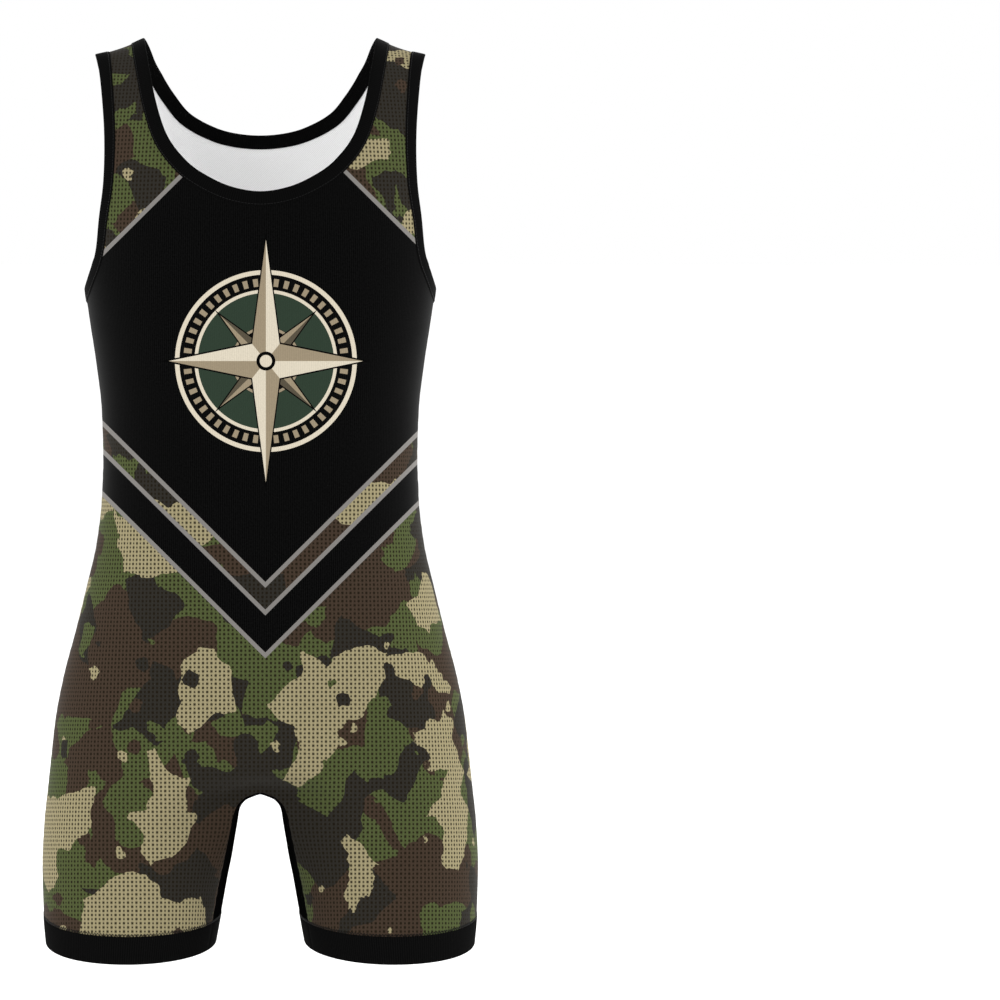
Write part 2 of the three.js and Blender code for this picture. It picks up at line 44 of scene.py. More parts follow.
VIEW_HEIGHT = -143.4
VIEW_TIP = np.radians(5.48)
camera_data = bpy.data.cameras.new("view")
camera_data.lens = 112.5
camera_data.sensor_width = 36
camera_data.shift_x = 0.2397
camera = bpy.data.objects.new("view", camera_data)
camera.location = (0, -VIEW_DISTANCE * MM, VIEW_HEIGHT * MM)
camera.rotation_euler = (np.pi / 2 - VIEW_TIP, 0, 0)
bpy.context.collection.objects.link(camera)
bpy.context.scene.camera = camera
bpy.context.scene.view_settings.view_transform = "Standard"

FLOOR_HEIGHT = -1.02
FLOOR_RADIUS = 40.0
FLOOR_CORNERS = 96
turn = np.linspace(0, 2 * np.pi, FLOOR_CORNERS, endpoint=False)
floor_rim = FLOOR_RADIUS * np.stack([np.cos(turn), np.sin(turn), 0 * turn], axis=1)
floor_rim[:, 2] = FLOOR_HEIGHT
floor_mesh = bpy.data.meshes.new("floor")
floor_mesh.from_pydata(floor_rim.tolist(), [], [list(range(FLOOR_CORNERS))])
floor = bpy.data.objects.new("floor", floor_mesh)
bpy.context.collection.objects.link(floor)
pale = bpy.data.materials.new("pale floor")
pale.use_nodes = True
pale_shader = pale.node_tree.nodes["Principled BSDF"]
pale_shader.inputs["Base Color"].default_value = (0.86, 0.86, 0.86, 1)
pale_shader.inputs["Roughness"].default_value = 0.9
pale_shader.inputs["Emission Color"].default_value = (1, 1, 1, 1)
pale_shader.inputs["Emission Strength"].default_value = 0.22
floor_mesh.materials.append(pale)

world = bpy.data.worlds.new("studio")
world.use_nodes = True
world.node_tree.nodes["Background"].inputs["Color"].default_value = (1, 1, 1, 1)
world.node_tree.nodes["Background"].inputs["Strength"].default_value = 1.0
bpy.context.scene.world = world

GARMENT_MIDDLE = (0, 0, -0.42)


def softbox(name, place, size, power):
    """A square area light at place, turned to face the middle of the garment."""
    data = bpy.data.lights.new(name, "AREA")
    data.size = size
    data.energy = power
    light = bpy.data.objects.new(name, data)
    light.location = place
    across, away, up = np.subtract(GARMENT_MIDDLE, place)
    light.rotation_euler = (np.arctan2(np.hypot(across, away), -up), 0, np.arctan2(-across, away))
    bpy.context.collection.objects.link(light)


softbox("key", (-1.7, -2.2, 1.3), 1.6, 24)
softbox("fill", (1.9, -1.9, 0.7), 1.6, 8)
softbox("left side", (-2.4, 0.5, 0.1), 1.4, 17)
softbox("right side", (2.4, 0.5, 0.1), 1.4, 36)
softbox("behind", (0.6, 2.6, 1.2), 1.8, 20)

# Front panel: the front of the body, both legs and the straps, one cut of printed stretch knit, white inside.
# It is printed before it is cut, then sewn to the back at shoulders and sides, and to the gusset. Sizes are
# in millimetres from the shoulders. Rows give the figure's sections, from the armpits down to the hems.
SECTION = {
    "z": [-220, -250, -290, -330, -370, -410, -450, -490, -530, -570, -610, -645, -670.5, -705, -745, -790,
          -816],
    "side": [156.8, 152.5, 146.6, 142.2, 141.1, 142.5, 147.3, 156.6, 166.6, 177.4, 185.3, 189.4, 192.2, 196,
             198, 197, 195],
    "front": [114, 115, 113, 108, 104, 102, 102, 103, 105, 106, 105, 102, 99, 96, 94, 92.5, 91.5],
    "back": [106, 104, 99, 92, 88, 89, 94, 102, 110, 116, 119, 117, 112, 106, 101, 97, 95],
    "square": [0.25, 0.25, 0.24, 0.22, 0.2, 0.2, 0.2, 0.2, 0.2, 0.19, 0.17, 0.15, 0.13, 0.11, 0.08, 0.06,
               0.05],
    "lobe": [0, 0, 0, 0, 0, 0, 0, 2, 10, 27, 52, 78, 95, 105, 111, 116, 118],
    "frontMiddle": [114, 115, 113, 108, 104, 102, 102, 103, 105, 105, 99, 82, 46, 40, 38, 38, 38],
    "backMiddle": [106, 104, 99, 92, 88, 89, 94, 102, 110, 114, 108, 84, 46, 40, 38, 38, 38],
}
ARMPIT = -220.0
FLARE = 25.0
RISE = 230.0
SHOULDER_V = RISE * np.pi / 2
SHOULDER_Y = 6.0
SHOULDER_NECK_X = 103.0
SHOULDER_SLOPE = 0.5
SHOULDER_EASE = 0.0038
NECK_ROUND = 50.0
FRONT_NECK = [(0, -135.6), (25.7, -131.3), (47.9, -121), (65.7, -107.3), (81, -86.5), (90.6, -58.6),
              (96.6, -31), (101, -9)]
FRONT_ARM = [(156.8, -222), (154.5, -217), (149.8, -205), (144.2, -188), (140.9, -158), (137, -126),
             (136.6, -86), (140.2, -45), (144.6, -20)]
SHOULDER_EDGE = {"neck": SHOULDER_NECK_X, "arm": 147.0}
INSEAM = [(0, -670.5), (8, -672.8), (14.6, -675.8), (20, -682), (23, -691), (24.2, -705), (25.6, -722.6),
          (27.4, -741), (33.7, -778), (40.6, -816)]
CROTCH = -670.5
GUSSET_ANGLE = 0.42
LEG_ROUNDS_IN = 90.0
INNER_SIDE = 0.9
OUTSEAM_AT_CROTCH = -648.0
BAND_TOP = -790.4
HEM = -816.0
KNIT = 0.9
SEAM = 0.1
BINDING_WIDTH = 12.8
UNDER_BINDING = 10.8
MIRROR = np.array([-1, 1, 1])


def smooth(t):
    """Eases from 0 to 1 as three t squared less two t cubed, level outside."""
    t = np.clip(t, 0, 1)
    return t * t * (3 - 2 * t)


def lerp(a, b, t):
    """A straight mix from a to b."""
    return a + (b - a) * t


def slopes(column):
    """The slope at each row: the harmonic mean of the slopes beside it, level where the column turns."""
    rise = np.diff(SECTION[column]) / np.diff(SECTION["z"])
    a, b = rise[:-1], rise[1:]
    turns = a * b <= 0
    inner = np.where(turns, 0, 2 * a * b / np.where(turns, 1, a + b))
    return np.concatenate([rise[:1], inner, rise[-1:]])


def section(column, z):
    """A column of the table at any height, as a cubic through its rows with those slopes."""
    heights, known, slope = np.array(SECTION["z"]), np.array(SECTION[column]), slopes(column)
    i = np.clip(np.searchsorted(-heights, -np.asarray(z), side="right") - 1, 0, len(heights) - 2)
    span = heights[i + 1] - heights[i]
    t = np.clip((z - heights[i]) / span, 0, 1)
    pull = t * (1 - t) ** 2 * span * slope[i] + t * t * (t - 1) * span * slope[i + 1]
    return lerp(known[i], known[i + 1], smooth(t)) + pull


def carried_on(column, v):
    """A column above the armpits: its slope there dies out over the flare."""
    return SECTION[column][0] + slopes(column)[0] * FLARE * (1 - np.exp(-np.maximum(v, 0) / FLARE))


def shoulder_line(x):
    """The height of the shoulder line: a fall outwards that eases off, rounded off over the middle."""
    x = np.abs(x)
    across = np.where(x < NECK_ROUND, x * x / NECK_ROUND / 2 + NECK_ROUND / 2, x)
    out = across - SHOULDER_NECK_X
    return -SHOULDER_SLOPE * out + SHOULDER_EASE * out * out


def line_through(points, start, end):
    """A cubic through rows of numbers, half the chord between neighbours as slope, 24 steps a span."""
    rows = np.array([start, *points, end], float)
    t = np.linspace(0, 1, 24, endpoint=False)[None, :, None]
    a, b, c, d = (rows[k:len(rows) - 3 + k, None, :] for k in range(4))
    fine = lerp(b, c, smooth(t)) + t * (1 - t) ** 2 * (c - a) / 2 + t * t * (t - 1) * (d - b) / 2
    return np.concatenate([fine.reshape(-1, rows.shape[1]), rows[-2:-1]])


inseam_end = INSEAM[-1]
inseam_line = line_through(INSEAM, (-INSEAM[1][0], INSEAM[1][1]),
                           (2 * inseam_end[0] - INSEAM[-2][0], 2 * HEM - INSEAM[-2][1]))


def inseam_x(z):
    """How far the inseam lies from the middle at a height."""
    return np.interp(-np.asarray(z), -inseam_line[:, 1], inseam_line[:, 0], left=0)


def fold_depth(face, x, z):
    """The depth of the fold between a leg's deepest line and the middle, eased from one to the other."""
    lobe = section("lobe", z)
    return lerp(section(face, z), section(face + "Middle", z), smooth((lobe - x) / np.maximum(1, lobe)))


def rounded_in(z):
    """How far the inner thigh has turned from the crotch's fold into a round leg."""
    return smooth((CROTCH - z) / LEG_ROUNDS_IN)


def cloth(face, t, v):
    """Points of the garment's surface. t runs from the middle or inseam, 0, to the side seam, 1. v is the
    height above the armpit. Above it an oval leans over to the shoulder line, and below it each section is an
    oval whose inner part falls in to the middle, or rounds in to the inseam."""
    t, v = np.broadcast_arrays(np.asarray(t, float), np.asarray(v, float))
    facing = -1 if face == "front" else 1
    angle = t * np.pi / 2
    x_up = carried_on("side", v) * np.sin(angle)
    depth = carried_on(face, v) * np.cos(angle) * (1 + SECTION["square"][0] * np.sin(angle) ** 2)
    up = np.maximum(v, 0) / RISE
    y_up = facing * depth * np.cos(up) + SHOULDER_Y * np.sin(up)
    z_up = ARMPIT + (shoulder_line(x_up) - ARMPIT) * np.sin(up)
    z = ARMPIT + np.minimum(v, 0)
    side, depth, lobe = section("side", z), section(face, z), section("lobe", z)
    share = np.maximum(1e-6, INNER_SIDE * lobe / side)
    angle = (t - share) / (1 - share) * np.pi / 2
    x_out = lobe + (side - lobe) * np.sin(angle)
    y_out = depth * np.cos(angle) * (1 + section("square", z) * np.sin(angle) ** 2)
    u = 1 - t / share
    gap = inseam_x(z)
    fold_x = lerp(lobe, gap, u)
    bend = u * (np.pi / 2 - GUSSET_ANGLE)
    rounded = rounded_in(z)
    x_in = lerp(fold_x, lobe - (lobe - gap) * np.sin(bend), rounded)
    y_in = lerp(fold_depth(face, fold_x, z), depth * np.cos(bend), rounded)
    x = np.where(v >= 0, x_up, np.where(t >= share, x_out, x_in))
    y = np.where(v >= 0, y_up, facing * np.where(t >= share, y_out, y_in))
    return np.stack([x, y, np.where(v >= 0, z_up, z)], axis=-1)


def unit(vectors):
    """Vectors at length one."""
    return vectors / np.linalg.norm(vectors, axis=-1, keepdims=True)


def turned_to(vectors, toward):
    """Vectors, turned round where they point against a direction."""
    return vectors * np.where((vectors * toward).sum(-1, keepdims=True) < 0, -1, 1)


def step_lengths(points, axis=0):
    """How far apart neighbouring points lie along an axis of their grid."""
    return np.linalg.norm(np.diff(points, axis=axis), axis=-1)


def tangents(face, t, v):
    """The directions along the cloth with t and with v, by small differences, and their cross product."""
    step = 1e-3
    down = np.where(np.abs(ARMPIT + v - CROTCH) < 1, 0.0, 1.0)
    along_t = (cloth(face, t + step, v) - cloth(face, t - step, v)) / (2 * step)
    along_v = (cloth(face, t, v + 1) - cloth(face, t, v - down)) / (1 + down)[..., None]
    return along_t, along_v, unit(np.cross(along_t, along_v))


def outward(face, t, v):
    """The way out of the garment at a place."""
    return tangents(face, t, v)[2] * (1 if face == "front" else -1)


def locate(x, z):
    """t and v of points given by x and z."""
    v = np.arcsin(np.clip((z - ARMPIT) / (shoulder_line(x) - ARMPIT), 0, 1)) * RISE
    v = np.where(z < ARMPIT, z - ARMPIT, v)
    side = np.where(v < 0, section("side", z), carried_on("side", v))
    return np.stack([np.arcsin(np.minimum(1, x / side)) / (np.pi / 2), v], axis=-1)


def evenly(points, count, ease=lambda s: s):
    """Shares of the way along a line of points at count + 1 even, or eased, lengths."""
    run = np.concatenate([[0], np.cumsum(step_lengths(points))])
    return np.interp(ease(np.linspace(0, 1, count + 1)) * run[-1], run, np.arange(len(run)))


def at_share(line, share):
    """A line of rows read at fractional row numbers."""
    rows = np.arange(len(line))
    return np.stack([np.interp(share, rows, column) for column in line.T], axis=1)


def finished_edge(face, points, which, steps):
    """A finished edge from the middle or armpit up to the shoulder line, as even steps of t and v."""
    places = locate(*np.array(points, float).T)
    top_t = np.arcsin(SHOULDER_EDGE[which] / carried_on("side", SHOULDER_V)) / (np.pi / 2)
    top = np.array([top_t, SHOULDER_V])
    start = (-places[1, 0], places[1, 1]) if which == "neck" else (2 - places[1, 0], places[1, 1])
    fine = line_through([*places, top], start, (places[-1, 0], 2 * SHOULDER_V - places[-1, 1]))
    return at_share(fine, evenly(cloth(face, fine[:, 0], fine[:, 1]), steps))


def inset(face, edge, which, width):
    """A finished edge moved across the cloth by a width, square to its own run."""
    toward = 1 if which == "neck" else -1
    t, v = edge.T
    along_t, along_v, normal = tangents(face, t, v)
    run = np.gradient(cloth(face, t, v), axis=0)
    run[0], run[-1] = along_t[0] * toward, along_v[-1]
    across = unit(np.cross(run, normal)) * toward * width
    tt, tv, vv = ((a * b).sum(-1) for a, b in ((along_t, along_t), (along_t, along_v), (along_v, along_v)))
    at, av = (across * along_t).sum(-1), (across * along_v).sum(-1)
    det = tt * vv - tv * tv
    step = np.stack([(at * vv - av * tv) / det, (av * tt - at * tv) / det], axis=-1)
    step[0, 0], step[-1, 1] = 0, 0
    moved = edge + step
    reach = np.linalg.norm(cloth(face, *moved.T) - cloth(face, t, v), axis=-1) / width
    return edge + step / reach[:, None]


# The mesh's rows in leg, trunk and strap, its columns, and powers that draw rows closer near the crotch
LEG_ROWS, TRUNK_ROWS, STRAP_ROWS, ACROSS = 60, 96, 70, 76
LEG_EASE, TRUNK_EASE = 1.5, 1.25
legs_down = inseam_line[inseam_line[:, 1] > BAND_TOP + SEAM / 2]
legs_down = np.vstack([legs_down, [inseam_x(BAND_TOP + SEAM / 2), BAND_TOP + SEAM / 2]])
inseam_steps = at_share(legs_down, evenly(legs_down, LEG_ROWS, lambda s: s ** LEG_EASE))


def panel_places(face, neck_points, arm_points):
    """t and v of a panel's right half, row by row from the leg band to the shoulder seam. Rows in the legs
    run from the inseam to the side seam, rows in the trunk from the middle, and rows in the strap between its
    edges. Steps across are even lengths of cloth, drawn closer together near both ends."""
    bare = BINDING_WIDTH - UNDER_BINDING
    neck = inset(face, finished_edge(face, neck_points, "neck", STRAP_ROWS), "neck", bare)
    arm = inset(face, finished_edge(face, arm_points, "arm", STRAP_ROWS), "arm", bare)
    down = np.linspace(1, 0, LEG_ROWS, endpoint=False)
    leg = np.stack([np.zeros(LEG_ROWS), inseam_steps[:0:-1, 1] - ARMPIT, np.ones(LEG_ROWS),
                    lerp(OUTSEAM_AT_CROTCH, BAND_TOP + SEAM / 2, down ** LEG_EASE) - ARMPIT], axis=1)
    rise = (np.arange(TRUNK_ROWS + 1) / TRUNK_ROWS) ** TRUNK_EASE
    trunk = np.stack([np.zeros(TRUNK_ROWS + 1), lerp(CROTCH + SEAM / 2 - ARMPIT, neck[0, 1], rise),
                      np.ones(TRUNK_ROWS + 1), lerp(OUTSEAM_AT_CROTCH - ARMPIT, arm[0, 1], rise)], axis=1)
    strap = np.hstack([neck[1:], arm[1:]])
    ends = np.concatenate([leg, trunk, strap])[:, :, None]

    def on_row(share):
        """t even between a row's ends, and v on a quarter of a sine wave from one to the other."""
        return lerp(ends[:, 0], ends[:, 2], share), lerp(ends[:, 1], ends[:, 3], np.sin(share * np.pi / 2))

    share = np.linspace(0, 1, 201)
    t, v = on_row(share)
    run = np.cumsum(step_lengths(cloth(face, t, v), 1), axis=1)
    run = np.hstack([np.zeros((len(run), 1)), run])
    k = np.linspace(0, 1, ACROSS + 1)
    k = 0.5 * k + 0.25 * (1 - np.cos(np.pi * k))
    in_leg = np.arange(len(run)) < LEG_ROWS
    in_strap = np.arange(len(run)) > LEG_ROWS + TRUNK_ROWS
    first = np.where(in_leg, SEAM / 2, 0)
    last = run[:, -1] - np.where(in_strap, 0, SEAM / 2)
    wanted = first[:, None] + (last - first)[:, None] * k
    t, v = on_row(np.array([np.interp(w, r, share) for w, r in zip(wanted, run)]))
    v[-1] = SHOULDER_V - SEAM / 2
    return t, v, in_leg | in_strap


def print_place(face, points):
    """Where the cloth is seen on an upright sheet through the shoulders, from the picture's place in front of
    that face: sideways and upwards, in millimetres from the line of sight."""
    half_turn = 1 if face == "front" else -1
    x, y, z = np.moveaxis(points * [half_turn, half_turn, 1], -1, 0)
    away, over = y + VIEW_DISTANCE, z - VIEW_HEIGHT
    depth = away * np.cos(VIEW_TIP) - over * np.sin(VIEW_TIP)
    upwards = away * np.sin(VIEW_TIP) + over * np.cos(VIEW_TIP)
    return np.stack([x, upwards], axis=-1) * VIEW_DISTANCE / depth[..., None]


def cloth_place(face, t, v):
    """Where the print lies along the cloth. Across it is how far the leg's deepest line is from the middle,
    and the length from there at the same height, without the fall in to the fork. Up it is the seen height as
    far as the armpit, and the length from there."""
    steps = np.linspace(0, 1, 33).reshape(-1, 1, 1)
    halfway = (steps[1:] + steps[:-1]) / 2
    z = ARMPIT + np.minimum(v, 0)
    share = INNER_SIDE * section("lobe", z) / section("side", z)

    def length_to(end):
        """The length from the middle or the inseam as far as end."""
        fall = np.where(halfway * end < share, rounded_in(z), 1)
        moves = np.diff(cloth(face, steps * end, v[None]), axis=0)
        return np.hypot(np.hypot(moves[..., 0], moves[..., 2]), moves[..., 1] * fall).sum(0)

    across = section("lobe", z) + length_to(t) - length_to(share)
    up = step_lengths(cloth(face, t[None], steps * np.maximum(v, 0))).sum(0)
    up = up + print_place(face, cloth(face, t, np.minimum(v, 0)))[..., 1]
    return np.stack([across, up], axis=-1).reshape(-1, 2)


def grid_quads(ids):
    """The quads between the rows and columns of a grid of point numbers."""
    return np.stack([ids[:-1, :-1], ids[:-1, 1:], ids[1:, 1:], ids[1:, :-1]], axis=-1).reshape(-1, 4)


def cloth_wall(points, normals, quads):
    """An outer layer, the same layer moved inwards by one knit, and a strip round every open edge."""
    count = len(points)
    edges = quads[:, [0, 1, 1, 2, 2, 3, 3, 0]].reshape(-1, 2)
    single = edges[~np.isin(edges @ [count, 1], edges @ [1, count])]
    strip = np.stack([single[:, 1], single[:, 0], single[:, 0] + count, single[:, 1] + count], axis=1)
    faces = np.concatenate([quads, quads[:, ::-1] + count, strip])
    kind = np.repeat([0, 1, 0], [len(quads), len(quads), len(strip)])
    return np.concatenate([points, points - normals * KNIT]), faces, kind


def make_piece(name, points, faces, materials, kind=None, maps=None, sharp=50):
    """A mesh object at the origin from points in millimetres, smooth but for sharp edges, facing outwards."""
    used, faces = np.unique(faces, return_inverse=True)
    faces = faces.reshape(-1, 4)
    points = points[used] * MM
    a, b, c, d = (points[faces[:, k]] for k in range(4))
    volume = (a * np.cross(b, c)).sum() + (a * np.cross(c, d)).sum()
    if volume < 0:
        faces = faces[:, ::-1]
    mesh = bpy.data.meshes.new(name)
    mesh.from_pydata(points.tolist(), [], faces.tolist())
    mesh.polygons.foreach_set("use_smooth", np.ones(len(faces), bool))
    for material in materials:
        mesh.materials.append(material)
    if kind is not None:
        mesh.polygons.foreach_set("material_index", kind.astype(np.int32))
    for map_name, places in (maps or {}).items():
        layer = mesh.uv_layers.new(name=map_name)
        layer.data.foreach_set("uv", (places[used] * MM)[faces.ravel()].ravel())
    mesh.set_sharp_from_angle(angle=np.radians(sharp))
    piece = bpy.data.objects.new(name, mesh)
    bpy.context.collection.objects.link(piece)
    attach(piece, "root")
    return piece


# Faint taut creases: x and z of the middle, degrees from level, half length, half width and height
CREASES = {
    "front": [(-52, -628, 38, 44, 6, -0.7), (47, -634, -41, 38, 5, -0.6), (-84, -596, 31, 36, 7, 0.5),
              (88, -588, -27, 44, 8, -0.5), (-128, -252, -24, 24, 4, -0.5), (131, -256, 30, 20, 4, -0.4),
              (118, -402, 6, 30, 5, 0.4), (-114, -384, -9, 26, 5, -0.4), (-30, -662, 20, 22, 4, 0.4)],
    "back": [(55, -626, -36, 46, 6, -0.7), (-49, -633, 40, 36, 5, -0.6), (96, -598, -24, 34, 7, 0.5),
             (-118, -398, -8, 34, 5, -0.5), (112, -418, 11, 28, 5, 0.4), (-104, -376, 5, 24, 4, 0.4),
             (129, -250, 26, 24, 4, -0.5), (-131, -246, -30, 20, 4, -0.4), (26, -660, -18, 24, 4, 0.4)],
}


def creased(face, x, z):
    """How far creases lift the cloth: each is a bell across its line, and fades out towards its two ends."""
    rows = np.array(CREASES[face], float).T[:, :, None, None]
    middle_x, middle_z, degrees, half_length, half_width, height = rows
    heading = np.radians(degrees)
    along = (x - middle_x) * np.cos(heading) + (z - middle_z) * np.sin(heading)
    across = (z - middle_z) * np.cos(heading) - (x - middle_x) * np.sin(heading)
    return (height * np.exp(-(along / half_length) ** 4 - (across / half_width) ** 2)).sum(0)


SEAM_GROOVE = 0.5
PUCKER = 0.14
PUCKER_WAVES = (12.7, 8.3)
SHORT_PUCKER = 0.7
PUCKER_REACH = 6.0


def seamed(points, split):
    """How far seams draw the cloth in: a groove at a row's sewn ends, and puckers that fade beside them."""
    inner = np.concatenate([np.zeros((len(points), 1)), np.cumsum(step_lengths(points, 1), axis=1)], axis=1)
    outer = inner[:, -1:] - inner
    inner = np.where(split[:, None], inner, 1e3)
    up = np.cumsum(np.linalg.norm(np.diff(points, axis=0, prepend=points[:1]), axis=-1), axis=0)
    long_wave, short_wave = (np.sin(2 * np.pi * up / length) for length in PUCKER_WAVES)
    groove = np.exp(-outer ** 2) + np.exp(-inner ** 2)
    beside = np.exp(-outer / PUCKER_REACH) + np.exp(-inner / PUCKER_REACH)
    return PUCKER * (long_wave + SHORT_PUCKER * short_wave) * beside - SEAM_GROOVE * groove


def panel(name, face, neck_points, arm_points, materials):
    """A front or back panel: a half and its mirror image, joined down the middle of the trunk. Its cloth map
    runs from left to right as seen from outside, so that both panels carry the same camouflage."""
    t, v, split = panel_places(face, neck_points, arm_points)
    rows, columns = t.shape
    normals = outward(face, t, v)
    normals[LEG_ROWS:LEG_ROWS + TRUNK_ROWS + 1, 0, 0] = 0
    normals[:LEG_ROWS + TRUNK_ROWS + 1, -1, 1] = 0
    normals[-1, :, 1] = 0
    normals = unit(normals)
    points = cloth(face, t, v)
    drawn = seamed(points, split)
    lift = [drawn + creased(face, side * points[..., 0], points[..., 2]) for side in (1, -1)]
    right = np.arange(rows * columns).reshape(rows, columns)
    left = right + rows * columns
    left[~split, 0] = right[~split, 0]
    quads = np.concatenate([grid_quads(right), grid_quads(left)[:, ::-1]])
    if face == "back":
        quads = quads[:, ::-1]
    points = np.concatenate([(points + normals * lift[0][..., None]).reshape(-1, 3),
                             (points + normals * lift[1][..., None]).reshape(-1, 3) * MIRROR])
    normals = np.concatenate([normals.reshape(-1, 3), normals.reshape(-1, 3) * MIRROR])
    lengths = cloth_place(face, t, v)
    seen = 1 if face == "front" else -1
    lengths = np.concatenate([lengths * [seen, 1], lengths * [-seen, 1]])
    walls, faces, kind = cloth_wall(points, normals, quads)
    maps = {"print": print_place(face, walls), "cloth": np.tile(lengths, (2, 1))}
    return make_piece(name, walls, faces, materials, kind, maps)


def feed(tree, socket, value):
    """Links an input to another node's output, or sets it to a value, or leaves it alone."""
    if isinstance(value, bpy.types.NodeSocket):
        tree.links.new(value, socket)
    elif value is not None:
        socket.default_value = value


def add(tree, kind, *inputs, **settings):
    """A node with its settings, its inputs fed in order, and its outputs returned."""
    node = tree.nodes.new(kind)
    for name, value in settings.items():
        setattr(node, name, value)
    for socket, value in zip(node.inputs, inputs):
        feed(tree, socket, value)
    return node.outputs


def calc(operation, *values, kind="ShaderNodeMath"):
    """One step of arithmetic, beside the node that the first linked value comes from."""
    linked = [value for value in values if isinstance(value, bpy.types.NodeSocket)]
    return add(linked[0].id_data, kind, *values, operation=operation)[0]


def ink(mask, under, over):
    """One colour laid over another where the mask is 1."""
    tree = mask.id_data
    node = tree.nodes.new("ShaderNodeMix")
    node.data_type = "RGBA"
    for index, value in ((0, mask), (6, under), (7, over)):
        feed(tree, node.inputs[index], value)
    return node.outputs[2]


def shade(red, green, blue):
    """A colour as seen on a screen, 0 to 255, as linear light."""
    seen = np.array([red, green, blue]) / 255
    return (*np.where(seen > 0.04045, ((seen + 0.055) / 1.055) ** 2.4, seen / 12.92), 1)


def new_group(name, inputs, outputs):
    """An empty shader group with the named sockets, its own inputs and its output node."""
    group = bpy.data.node_groups.new(name, "ShaderNodeTree")
    for socket, kind, start in inputs:
        made = group.interface.new_socket(socket, in_out="INPUT", socket_type="NodeSocket" + kind)
        if start is not None:
            made.default_value = start
    for socket, kind in outputs:
        group.interface.new_socket(socket, in_out="OUTPUT", socket_type="NodeSocket" + kind)
    return group, group.nodes.new("NodeGroupInput").outputs, group.nodes.new("NodeGroupOutput").inputs


def use(tree, group, **inputs):
    """A group placed in a material, with its inputs fed by name."""
    node = tree.nodes.new("ShaderNodeGroup")
    node.node_tree = group
    for name, value in inputs.items():
        feed(tree, node.inputs[name], value)
    return node.outputs


# Woodland camouflage: four flat inks in overlapping patches with stirred edges, and a grid of knitted holes.
# The holes, painted dark with the shade seen through them, take turns between two sizes, and a faint
# gutter of the same painted shade runs down each column of them. Half widths are shares of the pitch.
TAN, GREEN = shade(143, 134, 103), shade(71, 79, 47)
BROWN, CHARCOAL, HOLE_SHADE = shade(59, 48, 39), shade(41, 39, 35), shade(27, 22, 14)
DOT_PITCH = 3.7
DOT_HALF, DOT_GROWTH, DOT_DEPTH = 0.21, 0.07, 0.9
GUTTER_HALF, GUTTER_DEPTH = 0.2, 0.16
woodland, given, put = new_group("woodland", [("Place", "Vector", None)],
                                 [("Color", "Color"), ("Dot", "Float")])


def vector_step(operation, *values):
    """One step of arithmetic on vectors."""
    return calc(operation, *values, kind="ShaderNodeVectorMath")


def stirred(place, size, reach):
    """A place pushed about by cloudy noise, with clouds of a size and a reach in millimetres."""
    cloud = add(woodland, "ShaderNodeTexNoise", place, None, 1 / (size * MM), 1.0, 0.5)["Color"]
    push = vector_step("SUBTRACT", cloud, (0.5, 0.5, 0.5))
    push = vector_step("SCALE", push, None, None, 2 * reach * MM)
    return vector_step("ADD", place, push)


def cells(place, size):
    """A sheet parted among scattered points: how far off the nearest is, and a chance number for each."""
    found = add(woodland, "ShaderNodeTexVoronoi", place, None, 1 / (size * MM), voronoi_dimensions="2D")
    return found["Distance"], add(woodland, "ShaderNodeSeparateColor", found["Color"])[0]


def elsewhere(seed):
    """The sheet moved so far by a layer's own seed that no two layers match."""
    return vector_step("ADD", given["Place"], (seed * 1.31, seed * 0.77, seed * 0.19))


def patches(size, share, seed):
    """A mask of lobed patches: a share of the cells, with their borders stirred in three sizes."""
    place = stirred(elsewhere(seed), 0.9 * size, 0.55 * size)
    place = stirred(stirred(place, 14, 4.4), 3.4, 1.2)
    return calc("LESS_THAN", cells(place, size)[1], share)


def chips(spacing, share, radius, seed):
    """A mask of small chips: a stirred spot of 0.5 to 1.5 times the radius, round a share of the points."""
    away, chance = cells(stirred(stirred(elsewhere(seed), 10, 6.5), 3.4, 1.0), spacing)
    reach = calc("MULTIPLY_ADD", chance, radius / spacing / share, 0.5 * radius / spacing)
    near = calc("LESS_THAN", away, reach)
    return calc("MULTIPLY", near, calc("LESS_THAN", chance, share))


colour = GREEN
for size, share, seed, paint in ((44, 0.45, 1, BROWN), (44, 0.29, 3, CHARCOAL), (22, 0.07, 4, GREEN),
                                 (43, 0.25, 5, TAN)):
    colour = ink(patches(size, share, seed), colour, paint)
for spacing, share, radius, seed, paint in ((34, 0.14, 3.8, 7, TAN), (42, 0.15, 5.0, 9, BROWN),
                                            (44, 0.15, 5.0, 11, CHARCOAL), (40, 0.10, 2.8, 2, GREEN)):
    colour = ink(chips(spacing, share, radius, seed), colour, paint)
dots = []
parts = add(woodland, "ShaderNodeSeparateXYZ", given["Place"])
for axis in (0, 1):
    count = calc("DIVIDE", parts[axis], DOT_PITCH * MM)
    away = calc("PINGPONG", calc("ADD", count, 0.5), 0.5)
    parity = calc("PINGPONG", calc("FLOOR", count), 1.0)
    dots.append((away, parity))
# The gutter: a faint line of painted shade down the middle of each column of holes
gutter = calc("MULTIPLY", calc("LESS_THAN", dots[0][0], GUTTER_HALF), GUTTER_DEPTH)
woodland.links.new(ink(gutter, colour, HOLE_SHADE), put["Color"])
same = calc("COMPARE", dots[0][1], dots[1][1], 0.5)
size = calc("MULTIPLY_ADD", same, DOT_GROWTH, DOT_HALF)
inside = calc("LESS_THAN", calc("MAXIMUM", dots[0][0], dots[1][0]), size)
woodland.links.new(inside, put["Dot"])
